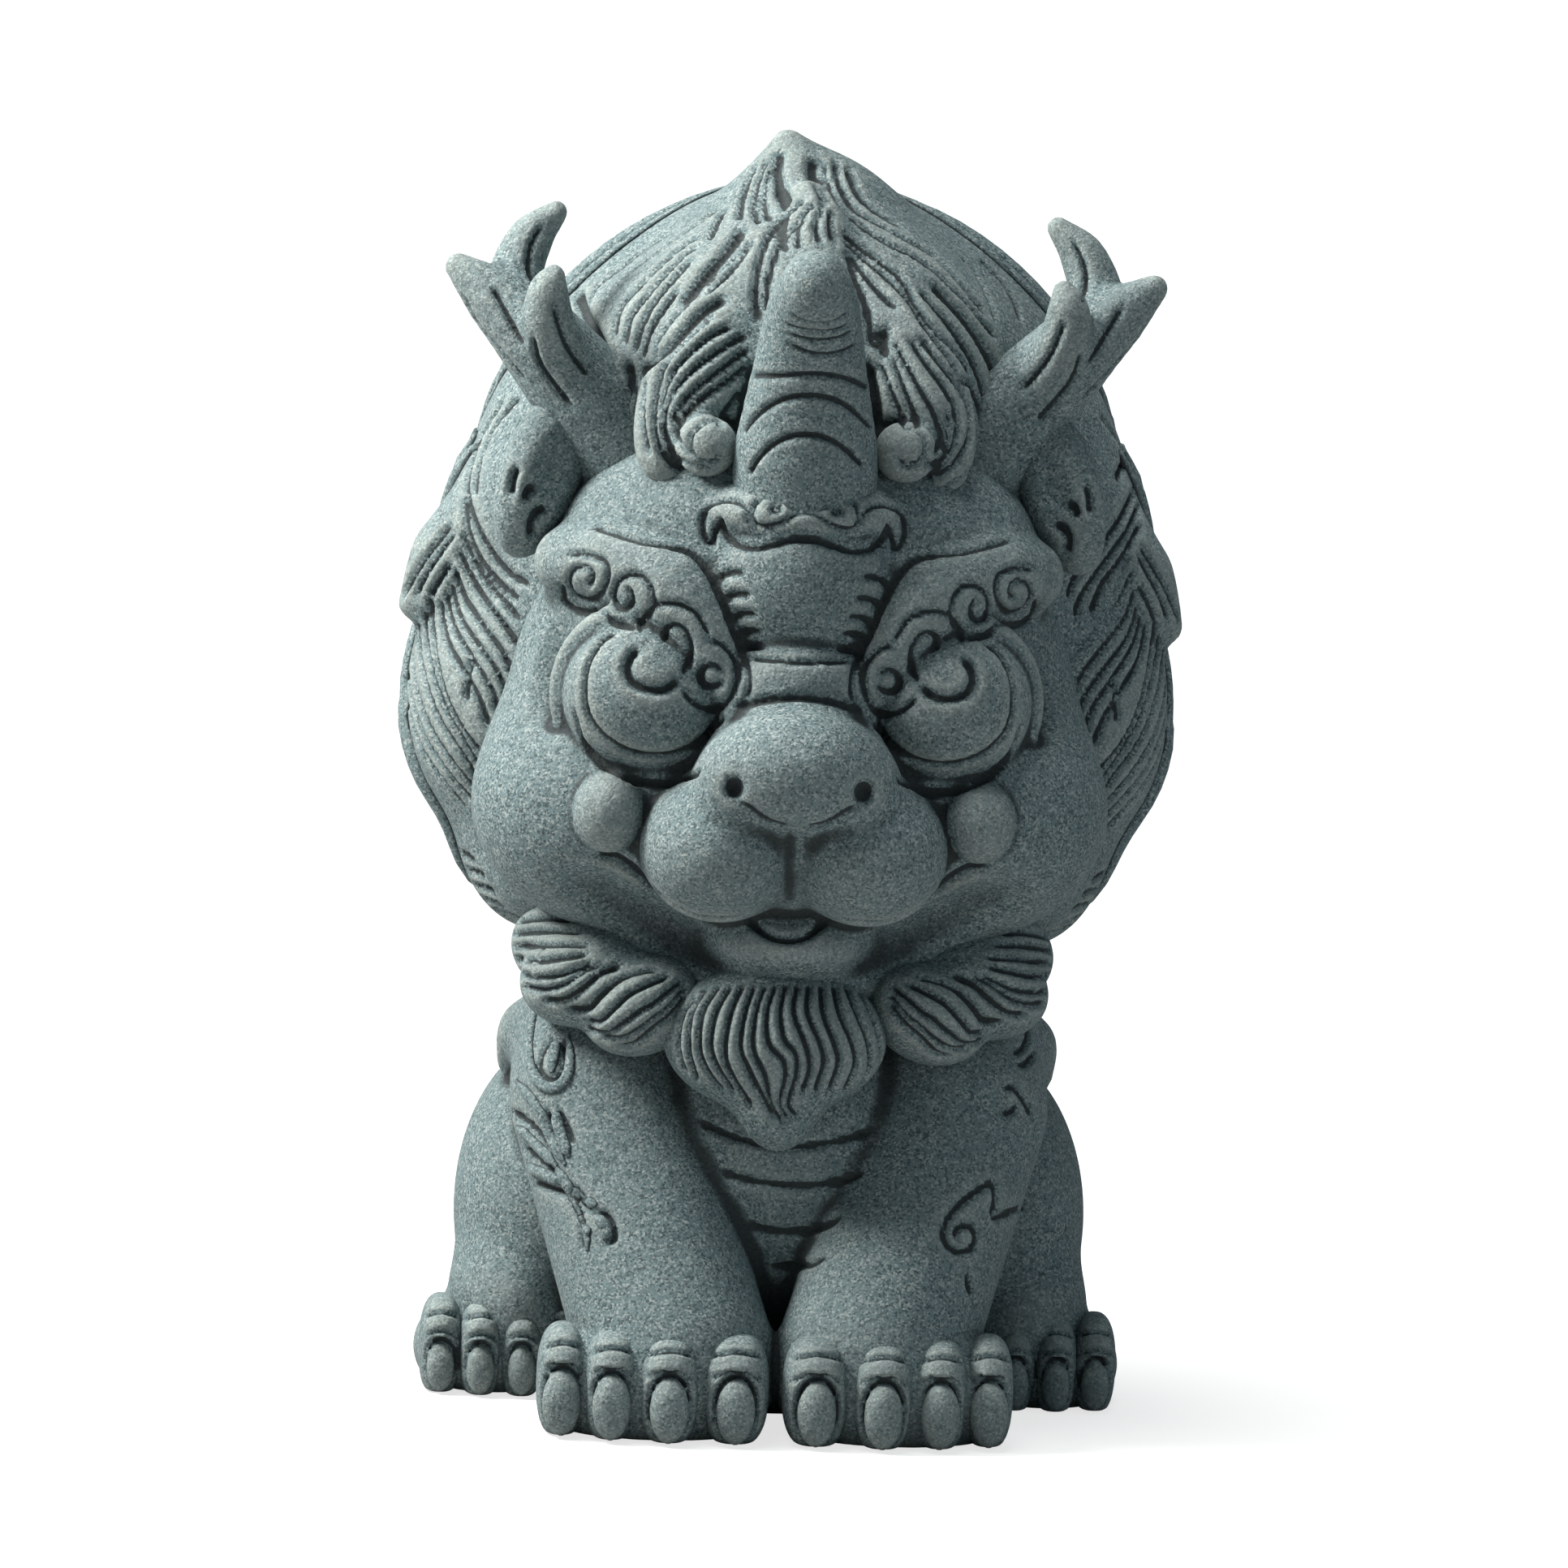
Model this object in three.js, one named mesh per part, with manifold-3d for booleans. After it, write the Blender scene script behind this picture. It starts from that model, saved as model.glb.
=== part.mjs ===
// A seated pixiu, a guardian animal of carved granite, built up from six stones.
// The head is bedded on the neck, and the antlers, the horn and the tail, which would break
// if they were cut from the main blocks, are carved apart and fixed with steel dowels and resin.
// Millimetres, +Z up, ground at z = 0. The statue faces -Y, and +X is its left side.

import * as THREE from "three";
import { mergeVertices } from "three/addons/utils/BufferGeometryUtils.js";
import Module from "manifold-3d";

const wasm = await Module();
wasm.setup();

// Joints between the stones
const JOINT_GAP = 0.3; // free space left on each side of a bed or a dowel
const SEAM_GAP = 0.8; // free space between two stones that pass each other
const NECK_TOP = 150; // height of the flat neck seat above the ground
const NECK_RADIUS = 58;
const NECK_Y = 8; // the neck stands a little behind the statue's middle
const NECK_BED = 3; // lime mortar under the head
const NECK_DOWEL = { radius: 8, length: 100, spread: 56 }; // two, across the neck
const RESIN_BED = 1.5; // resin under an antler, the horn and the tail
const ANTLER_DOWEL = { radius: 4, length: 44 };
const HORN_DOWEL = { radius: 5, length: 50 };
const TAIL_DOWEL = { radius: 5, length: 48 };
const DOWEL_SIDES = 16;

// Body stone, on the ground. A mass is an ellipsoid: its middle, its radii and its turn in degrees.
// Its place is given from the mass that carries it.
const SEAT = { at: [0, 28, 40], radii: [96, 98, 72] };
const TORSO = { at: beside(SEAT, [0, 0, 34]), radii: [88, 92, 74] };
const CHEST = { at: beside(TORSO, [0, -62, 26]), radii: [66, 54, 74] };
const SHOULDER = { at: beside(CHEST, [66, 8, 26]), radii: [38, 46, 44] };
const FORELEG_TOP = { at: beside(SHOULDER, [2, -20, -6]), radius: 36 };
const FORELEG_FOOT = { at: beside(SHOULDER, [-28, -68, -96]), radius: 37.5 };
const FORE_PAW = { at: beside(FORELEG_FOOT, [8, -4, -12]), radii: [45, 34, 29] };
// A toe's half width, and its place from the middle of its paw, from the inner toe outwards
const FORE_TOES = {
  halfWidths: [13, 12, 10.6, 9.6],
  from: [[-30.5, -18, 2], [-5, -20, 2], [17, -16, 2], [36, -8, 2]],
  size: [23, 22], // half length and half height
  nail: [7.5, 6, 13],
};
const HAUNCH = { at: beside(TORSO, [80, 8, -6]), radii: [43, 68, 66], turn: [0, 0, 8] };
const HIND_SHIN = { at: beside(HAUNCH, [18, -30, -32]), radii: [27, 40, 34] };
const HIND_PAW = { at: beside(HIND_SHIN, [10, 2, -22]), radii: [30, 38, 23] };
const HIND_TOES = {
  halfWidths: [8, 8.5, 8.5, 8.5],
  from: [[-28, -22, 3], [-12, -24, 3], [4, -24, 3], [19.5, -19, 3]],
  size: [22, 20],
  nail: [5.5, 4, 10],
};
const BLOCK_POWER = 3; // how boxy a toe is: 2 is an ellipsoid, more is squarer
const NAIL_DROP = 6; // a nail's middle below its toe's
const NAIL_PROUD = 1.5;

// Head stone, measured from the top of the neck bed. One smooth skin is drawn over its large masses.
const HEAD_MIDDLE = [0, 0, 140]; // the skin is measured outwards from here
const SKIN_BLEND = 16; // how softly one mass runs into the next
const MANE = { at: [2, 30, 146], radii: [140, 106, 174] };
const CROWN = { at: beside(MANE, [-2, -24, 130]), radii: [56, 46, 46] };
const CROWN_PEAK = { at: beside(CROWN, [4, 0, 27]), radii: [31, 26, 30] };
const CROWN_FRONT = { at: beside(MANE, [-2, -52, 90]), radii: [88, 58, 76] };
const NAPE = { at: beside(MANE, [-2, 60, -124]), radii: [78, 40, 60], turn: [8, 0, 0] };
const SIDE_LOCK = { at: beside(MANE, [116, -24, -29]), radii: [32, 50, 52], turn: [0, 0, -14] };
const LOW_LOCK = { at: beside(SIDE_LOCK, [-10, -10, -50]), radii: [30, 50, 42], turn: [0, 0, -20] };
const FACE = { at: beside(MANE, [-2, -66, -26]), radii: [110, 72, 100] };
const FOREHEAD = { at: beside(FACE, [0, -12, 66]), radii: [92, 58, 50] };
const JOWL = { at: beside(FACE, [66, -14, -35]), radii: [57, 58, 50] };
const JAW = { at: beside(FACE, [0, -22, -81]), radii: [68, 46, 36] };
const CHIN = { at: beside(JAW, [0, -38, -10]), radii: [33, 31, 21] };
const GOATEE = { at: beside(JAW, [0, -30, -40]), radii: [47, 32, 29] };
const GOATEE_TIP = { at: beside(GOATEE, [0, -9, -19]), radii: [21, 17, 20] };
const FRINGE = [
  { at: beside(JOWL, [22, 12, -60]), radii: [22, 40, 20], turn: [0, 0, -24] },
  { at: beside(JOWL, [10, -12, -67]), radii: [26, 28, 20], turn: [0, 16, -34] },
  { at: beside(JOWL, [-11, -28, -76]), radii: [24, 25, 19], turn: [0, 24, -20] },
];
const CROWN_TIP = {
  points: [beside(CROWN_PEAK, [-6, 2, -1]), beside(CROWN_PEAK, [-12, 0, 38])],
  radii: [25, 6],
};
const CROWN_TUFT = {
  points: [[2, -50, 3], [3, -44, 26], [0, -32, 41]].map((offset) => beside(CROWN, offset)),
  radii: [17, 14, 9],
};
const SIDE_FLAME = {
  points: [[-14, 0, 68], [10, 2, 52], [30, 4, 35]].map((offset) => beside(SIDE_LOCK, offset)),
  radii: [30, 22, 6],
};

// Locks of hair on the skin. Angles in degrees: azimuth from straight back, polar down from the top.
const LOCK_TIERS = [
  { locks: 8, spread: 95, from: 16, to: 72, curl: 9 },
  { locks: 10, spread: 112, from: 60, to: 112, curl: -9 },
  { locks: 8, spread: 98, from: 98, to: 146, curl: 9 },
];
const LOCK_RADII = [13, 20, 17, 5]; // along a lock, from its root to its tip
const LOCK_HEIGHT = 4; // how far a lock stands out of the skin
const CURL_TURN = 4.2; // how far the sideways curl has turned at the tip, in radians
const CROWN_LOCK = { angles: [[106, 47], [112, 36], [122, 24], [150, 10]], radii: [9, 15, 15, 7] };

// Features at a width and a height on the front of the skin, and how deep their middles lie under it
const EAR = { spot: [104, 211, -15], radii: [20, 13, 34], turn: [-8, -17, -32] };
const EAR_HOLLOW = { spot: [100, 211, -27.5], radii: [13, 10, 27], turn: [-8, -17, -32] };
const BROW = {
  spot: [57, 172, 0],
  points: [[31, 30, 6], [13, 10, 8], [-7, -5, 0], [-21, -12, -17], [-29, -14, -35]],
  radii: [14, 16, 16, 12, 8],
};
const EYE = { spot: [57, 131, 9], radii: [33, 31, 33] };
const EYE_RIM = { spot: [58, 129, 0], radius: 35, rim: 4.6, turn: [6, 0, 22] };
const EYE_SOCKET = { spot: [93, 144, -12], radii: [13, 17, 26] };
const BRIDGE = { spot: [0, 137, 3], radii: [29, 20, 20] };
const MUZZLE = { spot: [0, 83, 3], radii: [52, 38, 33] };
const NOSE = { spot: [0, 107, -16.5], radii: [38, 30, 25] };
const NOSE_WING = { spot: [26, 101, -15.5], radii: [17, 22, 17] };
const WHISKER_PAD = { spot: [28, 75, -7], radii: [31, 37, 29] };
const NODULE = { spot: [72, 86, 4.5], radii: [13, 14, 17] };
const FOREHEAD_BALL = { spot: [0, 177, 15.5], radii: [37, 30, 36] };
const CREST_PLATE = { spot: [0, 203, 18.5], radii: [41, 35, 15] };
const FORELOCK = { spot: [42, 249, 6], radii: [21, 17, 44], turn: [-22, -20, 0] };
const FORELOCK_CURL = { spot: [38, 227, -13.5], radii: [13, 12, 13] };

// Antlers and horn on the skin, tail on the rump. A limb is tapered: points from its seat, and radii.
const ANTLER_SEAT = { spot: [80, 236, 7], axis: [0.62, -0.08, 0.78] };
const ANTLER_TRUNK = {
  points: [[-12, 2, -16], [2, 0, 2], [21, -3, 24], [39, 0, 40], [54, 3, 52]],
  radii: [20, 19, 17, 12, 5.5],
};
const ANTLER_BACK_TINE = {
  points: [[24, 0, 26], [32, 10, 45], [27, 16, 62], [17, 18, 73]],
  radii: [12, 11, 9, 4.5],
};
const ANTLER_FRONT_TINE = {
  points: [[12, -7, 16], [19, -18, 32], [20, -22, 45], [18, -22, 52]],
  radii: [12, 10.5, 8, 4.5],
};
const HORN_SEAT = { spot: [0, 216, 2], axis: [0, -0.3, 0.954] };
const HORN = {
  points: [[0, 6, -14], [0, -2, 10], [0, -11, 40], [0, -27, 65], [0, -46, 78]],
  radii: [26, 26, 22, 18, 13],
};
const TAIL_SEAT = { at: beside(SEAT, [0, SEAT.radii[1] - 12, 8]), axis: [0, 0.94, 0.34] };
const TAIL = {
  points: [[0, -14, -5], [0, 14, 5], [5, 34, 30], [-6, 41, 58], [6, 44, 82], [-2, 46, 102]],
  radii: [17, 18, 19, 17, 12, 4],
};

// How finely a form is faceted, by its size
const FINE = [22, 14];
const MEDIUM = [13, 8];
const SMALL = [8, 5];
const TINY = [7, 4];
const SKIN_SIDES = 36;
const SKIN_RINGS = 24;
const RIM_FACETS = [6, 20];
const LIMB = { sides: 9, steps: 2, capAngles: [1.35, 1.05, 0.7, 0.35] }; // steps between two points
const LOCK = { sides: 6, steps: 1, capAngles: [0.9] };

const FAR = 400; // half-size of a cutting block, larger than the statue
const UPRIGHT = [0, 0, 1];

// A point set off from a mass's middle
function beside({ at }, offset) {
  return at.map((value, i) => value + offset[i]);
}

// Solids
function solidOf(geometry) {
  const bare = new THREE.BufferGeometry();
  bare.setAttribute("position", geometry.getAttribute("position"));
  bare.setIndex(geometry.index);
  const merged = mergeVertices(bare, 1e-4);
  return new wasm.Manifold(new wasm.Mesh({
    numProp: 3,
    vertProperties: merged.getAttribute("position").array,
    triVerts: new Uint32Array(merged.index.array),
  }));
}

function geometryOf(solid) {
  const { numProp, vertProperties, triVerts } = solid.getMesh();
  const geometry = new THREE.BufferGeometry();
  const positions = new THREE.InterleavedBuffer(vertProperties, numProp);
  geometry.setAttribute("position", new THREE.InterleavedBufferAttribute(positions, 3, 0));
  geometry.setIndex([...triVerts]);
  const plain = geometry.toNonIndexed();
  plain.computeVertexNormals();
  return plain;
}

function joined(solids) {
  return solids.reduce((whole, solid) => whole.add(solid));
}

// The same mass on the statue's other side
function mirrored({ at, radii, turn = [0, 0, 0] }) {
  return { at: [-at[0], at[1], at[2]], radii, turn: [turn[0], -turn[1], -turn[2]] };
}

// A limb moved to its seat, on either side of the statue
function limbAt({ points, radii }, { at }, side = 1) {
  return { points: points.map(([x, y, z]) => [at[0] + side * x, at[1] + y, at[2] + z]), radii };
}

// The matrix that takes a ball of radius one to a mass
function placement({ at, radii, turn = [0, 0, 0] }, grow = 0) {
  const [x, y, z] = turn.map(THREE.MathUtils.degToRad);
  const rotation = new THREE.Quaternion().setFromEuler(new THREE.Euler(x, y, z));
  const size = new THREE.Vector3(...radii.map((radius) => radius + grow));
  return new THREE.Matrix4().compose(new THREE.Vector3(...at), rotation, size);
}

// An ellipsoid, let out by grow on every side
function mass(form, detail = MEDIUM, grow = 0) {
  const geometry = new THREE.SphereGeometry(1, ...detail);
  geometry.rotateX(Math.PI / 2);
  geometry.applyMatrix4(placement(form, grow));
  return solidOf(geometry);
}

// A mass with squarer shoulders than an ellipsoid
function block(form, detail) {
  const geometry = new THREE.SphereGeometry(1, ...detail);
  const position = geometry.getAttribute("position");
  for (let i = 0; i < position.count; i += 1) {
    const point = [position.getX(i), position.getY(i), position.getZ(i)];
    const powers = point.map((value) => Math.abs(value) ** BLOCK_POWER);
    const out = powers.reduce((sum, value) => sum + value) ** (-1 / BLOCK_POWER);
    position.setXYZ(i, ...point.map((value) => value * out));
  }
  geometry.applyMatrix4(placement(form));
  return solidOf(geometry);
}

function pair(form, detail, grow) {
  return [mass(form, detail, grow), mass(mirrored(form), detail, grow)];
}

// A tapered tube with round ends through the points of a limb
function limb({ points, radii }, grow = 0, facets = LIMB) {
  const curve = new THREE.CatmullRomCurve3(points.map((p) => new THREE.Vector3(...p)));
  const spans = points.length - 1;
  const steps = spans * facets.steps;
  const frames = curve.computeFrenetFrames(steps, false);
  const rings = [];
  const ringAt = (t, along, radius) => {
    const step = Math.round(t * steps);
    const centre = curve.getPoint(t).addScaledVector(curve.getTangent(t), along);
    rings.push({ centre, radius, normal: frames.normals[step], binormal: frames.binormals[step] });
  };
  const radiusAt = (t) => {
    const span = Math.min(Math.floor(t * spans), spans - 1);
    return THREE.MathUtils.lerp(radii[span], radii[span + 1], t * spans - span) + grow;
  };
  for (const angle of facets.capAngles) {
    ringAt(0, -radiusAt(0) * Math.sin(angle), radiusAt(0) * Math.cos(angle));
  }
  for (let i = 0; i <= steps; i += 1) ringAt(i / steps, 0, radiusAt(i / steps));
  for (const angle of [...facets.capAngles].reverse()) {
    ringAt(1, radiusAt(1) * Math.sin(angle), radiusAt(1) * Math.cos(angle));
  }
  return solidOf(lofted(rings, facets.sides));
}

// A closed skin over a row of rings
function lofted(rings, sides) {
  const positions = [];
  const point = new THREE.Vector3();
  for (const { centre, radius, normal, binormal } of rings) {
    for (let side = 0; side < sides; side += 1) {
      const angle = (2 * Math.PI * side) / sides;
      point.copy(centre);
      point.addScaledVector(normal, radius * Math.cos(angle));
      point.addScaledVector(binormal, radius * Math.sin(angle));
      positions.push(...point.toArray());
    }
  }
  const corner = (ring, side) => ring * sides + (side % sides);
  const last = rings.length - 1;
  const index = [];
  for (let side = 0; side < sides; side += 1) {
    for (let ring = 0; ring < last; ring += 1) {
      const [a, b] = [corner(ring, side), corner(ring, side + 1)];
      const [c, d] = [corner(ring + 1, side), corner(ring + 1, side + 1)];
      index.push(a, b, d, a, d, c);
    }
    if (side > 0 && side < sides - 1) {
      index.push(corner(0, 0), corner(0, side + 1), corner(0, side));
      index.push(corner(last, 0), corner(last, side), corner(last, side + 1));
    }
  }
  const geometry = new THREE.BufferGeometry();
  geometry.setAttribute("position", new THREE.Float32BufferAttribute(positions, 3));
  geometry.setIndex(index);
  return geometry;
}

// Turns +Z to the axis and moves the origin to the point
function placedOn(geometry, at, axis) {
  const up = new THREE.Vector3(0, 0, 1);
  const turn = new THREE.Quaternion().setFromUnitVectors(up, new THREE.Vector3(...axis).normalize());
  geometry.applyQuaternion(turn);
  geometry.translate(...at);
  return geometry;
}

// A round bar centred on a point
function bar(at, axis, radius, length) {
  const geometry = new THREE.CylinderGeometry(radius, radius, length, DOWEL_SIDES);
  geometry.rotateX(Math.PI / 2);
  return solidOf(placedOn(geometry, at, axis));
}

function hole(at, axis, dowel) {
  return bar(at, axis, dowel.radius + JOINT_GAP, dowel.length + 2 * JOINT_GAP);
}

// Everything on the axis side of a plane that stands off the seat by a height
function above(seat, height) {
  const block = new THREE.BoxGeometry(2 * FAR, 2 * FAR, FAR);
  block.translate(0, 0, FAR / 2 + height);
  return solidOf(placedOn(block, seat.at, seat.axis));
}

// A stone that stands on a seat: the stone, its resin bed, its dowel and the pocket that it takes.
// raw is the form with its root running on below the seat, and room is the same form let out.
function seated(raw, room, seat, dowel) {
  const bedTop = JOINT_GAP + RESIN_BED;
  const bore = hole(seat.at, seat.axis, dowel);
  return {
    stone: raw.intersect(above(seat, bedTop + JOINT_GAP)).subtract(bore),
    bed: raw.intersect(above(seat, JOINT_GAP)).subtract(above(seat, bedTop)).subtract(bore),
    dowel: bar(seat.at, seat.axis, dowel.radius, dowel.length),
    pocket: room.intersect(above(seat, 0)).add(bore),
  };
}

// Body stone
function toes({ halfWidths, from, size, nail }, paw, side) {
  return halfWidths.flatMap((halfWidth, i) => {
    const [x, y, z] = beside(paw, from[i]);
    const [halfLength] = size;
    const nailY = y - halfLength - NAIL_PROUD + nail[1];
    return [
      block({ at: [side * x, y, z], radii: [halfWidth, ...size] }, MEDIUM),
      mass({ at: [side * x, nailY, z - NAIL_DROP], radii: nail }, TINY),
    ];
  });
}

function foreleg(side, grow) {
  const ends = [FORELEG_TOP, FORELEG_FOOT];
  const points = ends.map(({ at: [x, y, z] }) => [side * x, y, z]);
  return limb({ points, radii: ends.map(({ radius }) => radius) }, grow);
}

// The upper body, which the head hangs over. Chest and shoulders rise round the flat neck seat.
function upperBody(grow = 0) {
  const neckHeight = NECK_TOP - TORSO.at[2];
  const neck = bar(
    [0, NECK_Y, NECK_TOP - neckHeight / 2], UPRIGHT, NECK_RADIUS + grow, neckHeight,
  );
  const forms = [
    neck,
    mass(TORSO, FINE, grow),
    mass(CHEST, MEDIUM, grow),
    ...pair(SHOULDER, MEDIUM, grow),
    ...pair(HAUNCH, FINE, grow),
    foreleg(1, grow),
    foreleg(-1, grow),
  ];
  const well = bar(
    [0, NECK_Y, NECK_TOP + FAR / 2], UPRIGHT, NECK_RADIUS + SEAM_GAP - grow, FAR,
  );
  return joined(forms).subtract(well);
}

function bodyBlock() {
  const forms = [
    upperBody(),
    mass(SEAT, FINE),
    ...pair(HIND_SHIN, MEDIUM),
    ...pair(FORE_PAW, MEDIUM),
    ...pair(HIND_PAW, MEDIUM),
    ...[1, -1].flatMap((side) => toes(FORE_TOES, FORE_PAW, side)),
    ...[1, -1].flatMap((side) => toes(HIND_TOES, HIND_PAW, side)),
  ];
  return joined(forms).intersect(above({ at: [0, 0, 0], axis: UPRIGHT }, 0));
}

// Head stone
const both = (form) => [form, mirrored(form)];
const headMasses = [
  MANE, CROWN, CROWN_PEAK, CROWN_FRONT, NAPE, FACE, FOREHEAD, JAW,
  ...[SIDE_LOCK, LOW_LOCK, JOWL].flatMap(both),
];
const toUnitBalls = headMasses.map((form) => placement(form).invert());

// How far a ray runs before it leaves a mass for good, or zero if it misses the mass
function reach(toUnitBall, from, ray) {
  const start = from.clone().applyMatrix4(toUnitBall);
  const step = from.clone().add(ray).applyMatrix4(toUnitBall).sub(start);
  const a = step.dot(step);
  const b = start.dot(step);
  const c = start.dot(start) - 1;
  const inside = b * b - a * c;
  return inside > 0 ? Math.max((Math.sqrt(inside) - b) / a, 0) : 0;
}

// The larger of two lengths, rounded over where they are nearly equal
function blended(a, b) {
  const overlap = Math.max(SKIN_BLEND - Math.abs(a - b), 0);
  return Math.max(a, b) + (overlap * overlap) / (4 * SKIN_BLEND);
}

function skinDistance(from, ray) {
  return toUnitBalls.map((ball) => reach(ball, from, ray)).reduce(blended);
}

// A sphere's points pushed out to the masses
function headSkin() {
  const middle = new THREE.Vector3(...HEAD_MIDDLE);
  const geometry = new THREE.SphereGeometry(1, SKIN_SIDES, SKIN_RINGS);
  const position = geometry.getAttribute("position");
  const point = new THREE.Vector3();
  for (let i = 0; i < position.count; i += 1) {
    point.fromBufferAttribute(position, i);
    point.multiplyScalar(skinDistance(middle, point)).add(middle);
    position.setXYZ(i, point.x, point.y, point.z);
  }
  return solidOf(geometry);
}

// A ridge of hair through azimuth and polar angles round the mane's middle, mostly sunk in the skin
function hairLock(angles, radii) {
  const middle = new THREE.Vector3(...MANE.at);
  const points = angles.map((turns, i) => {
    const [azimuth, polar] = turns.map(THREE.MathUtils.degToRad);
    const ray = new THREE.Vector3().setFromSphericalCoords(1, polar, azimuth);
    ray.set(ray.x, ray.z, ray.y);
    const out = skinDistance(middle, ray) + LOCK_HEIGHT - radii[i];
    return ray.multiplyScalar(out).add(middle).toArray();
  });
  return limb({ points, radii }, 0, LOCK);
}

// A row of locks side by side, each with a sideways curl
function tierLocks({ locks, spread, from, to, curl }) {
  const width = (2 * spread) / locks;
  return Array.from({ length: locks }, (_, lock) => {
    const middle = width * (lock + 0.5) - spread;
    const angles = LOCK_RADII.map((_radius, i) => {
      const run = i / (LOCK_RADII.length - 1);
      const sweep = Math.sign(middle) * curl * Math.sin(run * CURL_TURN);
      return [middle + sweep, THREE.MathUtils.lerp(from, to, run)];
    });
    return hairLock(angles, LOCK_RADII);
  });
}

// A lock that rises to the crown's tip, on both sides
function crownLocks({ angles, radii }) {
  return [1, -1].map((side) => {
    const turned = angles.map(([azimuth, polar]) => [side * azimuth, polar]);
    return hairLock(turned, radii);
  });
}

// A feature with its spot on the front of the skin turned into a place
function onFace({ spot: [x, z, depth], ...form }) {
  const from = new THREE.Vector3(x, HEAD_MIDDLE[1], z);
  const forward = new THREE.Vector3(0, -1, 0);
  return { ...form, at: [x, HEAD_MIDDLE[1] - skinDistance(from, forward) + depth, z] };
}

// A limb on both sides of the statue
function limbPair(form, { at: [x, y, z] } = { at: [0, 0, 0] }) {
  return [1, -1].map((side) => limb(limbAt(form, { at: [side * x, y, z] }, side)));
}

// A bulging eyeball in a round rim, on both sides
function eyes() {
  const { at, radius, rim, turn } = onFace(EYE_RIM);
  const rims = both({ at, radii: [1, 1, 1], turn }).map((place) => {
    const ring = new THREE.TorusGeometry(radius, rim, ...RIM_FACETS);
    ring.rotateX(Math.PI / 2);
    return solidOf(ring.applyMatrix4(placement(place)));
  });
  return [...pair(onFace(EYE)), ...rims];
}

// A leaf-shaped ear with a hollow front, on both sides
function ears() {
  const hollows = pair(onFace(EAR_HOLLOW));
  return pair(onFace(EAR)).map((ear, i) => ear.subtract(hollows[i]));
}

function headBlock() {
  const sockets = pair(onFace(EYE_SOCKET));
  const skin = joined([headSkin(), ...limbPair(BROW, onFace(BROW))]);
  const forms = [
    skin.subtract(sockets[0]).subtract(sockets[1]),
    limb(CROWN_TIP),
    limb(CROWN_TUFT),
    ...limbPair(SIDE_FLAME),
    ...LOCK_TIERS.flatMap(tierLocks),
    ...crownLocks(CROWN_LOCK),
    ...ears(),
    ...eyes(),
    mass(onFace(BRIDGE), SMALL),
    mass(onFace(MUZZLE)),
    mass(onFace(NOSE)),
    ...pair(onFace(NOSE_WING), SMALL),
    ...pair(onFace(WHISKER_PAD)),
    ...pair(onFace(NODULE), SMALL),
    mass(CHIN),
    mass(onFace(FOREHEAD_BALL)),
    mass(onFace(CREST_PLATE)),
    ...pair(onFace(FORELOCK)),
    ...pair(onFace(FORELOCK_CURL), SMALL),
    ...FRINGE.flatMap((lobe) => pair(lobe, SMALL)),
    mass(GOATEE),
    mass(GOATEE_TIP, SMALL),
  ];
  return joined(forms);
}

// The neck joint: the head sits on a mortar bed, and two dowels keep it from turning
function neckDowelPlaces() {
  return [-1, 1].map((side) => [side * NECK_DOWEL.spread / 2, NECK_Y, NECK_TOP + NECK_BED / 2]);
}

const neckHoles = joined(neckDowelPlaces().map((at) => hole(at, UPRIGHT, NECK_DOWEL)));
const headLift = NECK_TOP + NECK_BED;
const bedHeight = NECK_BED - 2 * JOINT_GAP;
const bedMiddle = [0, NECK_Y, NECK_TOP + NECK_BED / 2];
const neckBed = bar(bedMiddle, UPRIGHT, NECK_RADIUS, bedHeight).subtract(neckHoles);

function standing(limbs, seat, dowel, side = 1) {
  const form = (grow) => joined(limbs.map((part) => limb(limbAt(part, seat, side), grow)));
  return seated(form(0), form(SEAM_GAP), seat, dowel);
}

// The same seat on the statue's other side
function flipped({ at, axis }) {
  return { at: [-at[0], at[1], at[2]], axis: [-axis[0], axis[1], axis[2]] };
}

const antlerLimbs = [ANTLER_TRUNK, ANTLER_BACK_TINE, ANTLER_FRONT_TINE];
const antlerSeat = onFace(ANTLER_SEAT);
const leftJoint = standing(antlerLimbs, antlerSeat, ANTLER_DOWEL);
const rightJoint = standing(antlerLimbs, flipped(antlerSeat), ANTLER_DOWEL, -1);
const hornJoint = standing([HORN], onFace(HORN_SEAT), HORN_DOWEL);
const tailJoint = standing([TAIL], TAIL_SEAT, TAIL_DOWEL);

const bodyStone = bodyBlock().subtract(neckHoles).subtract(tailJoint.pocket);
const headStone = headBlock()
  .subtract(upperBody(SEAM_GAP).translate(0, 0, -headLift))
  .subtract(bar([0, NECK_Y, -NECK_TOP / 2], UPRIGHT, NECK_RADIUS + SEAM_GAP, NECK_TOP))
  .subtract(neckHoles.translate(0, 0, -headLift))
  .subtract(leftJoint.pocket)
  .subtract(rightJoint.pocket)
  .subtract(hornJoint.pocket);

// Materials and the scene graph
const granite = new THREE.MeshStandardMaterial({ color: 0x5f6b6a, roughness: 0.86, metalness: 0 });
const steel = new THREE.MeshStandardMaterial({ color: 0xb8bcc0, roughness: 0.35, metalness: 1 });
const mortar = new THREE.MeshStandardMaterial({ color: 0x8d8c86, roughness: 0.95, metalness: 0 });
const resin = new THREE.MeshStandardMaterial({ color: 0x50564f, roughness: 0.5, metalness: 0 });

function piece(name, solid, material) {
  const mesh = new THREE.Mesh(geometryOf(solid), material.clone());
  mesh.name = name;
  return mesh;
}

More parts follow.
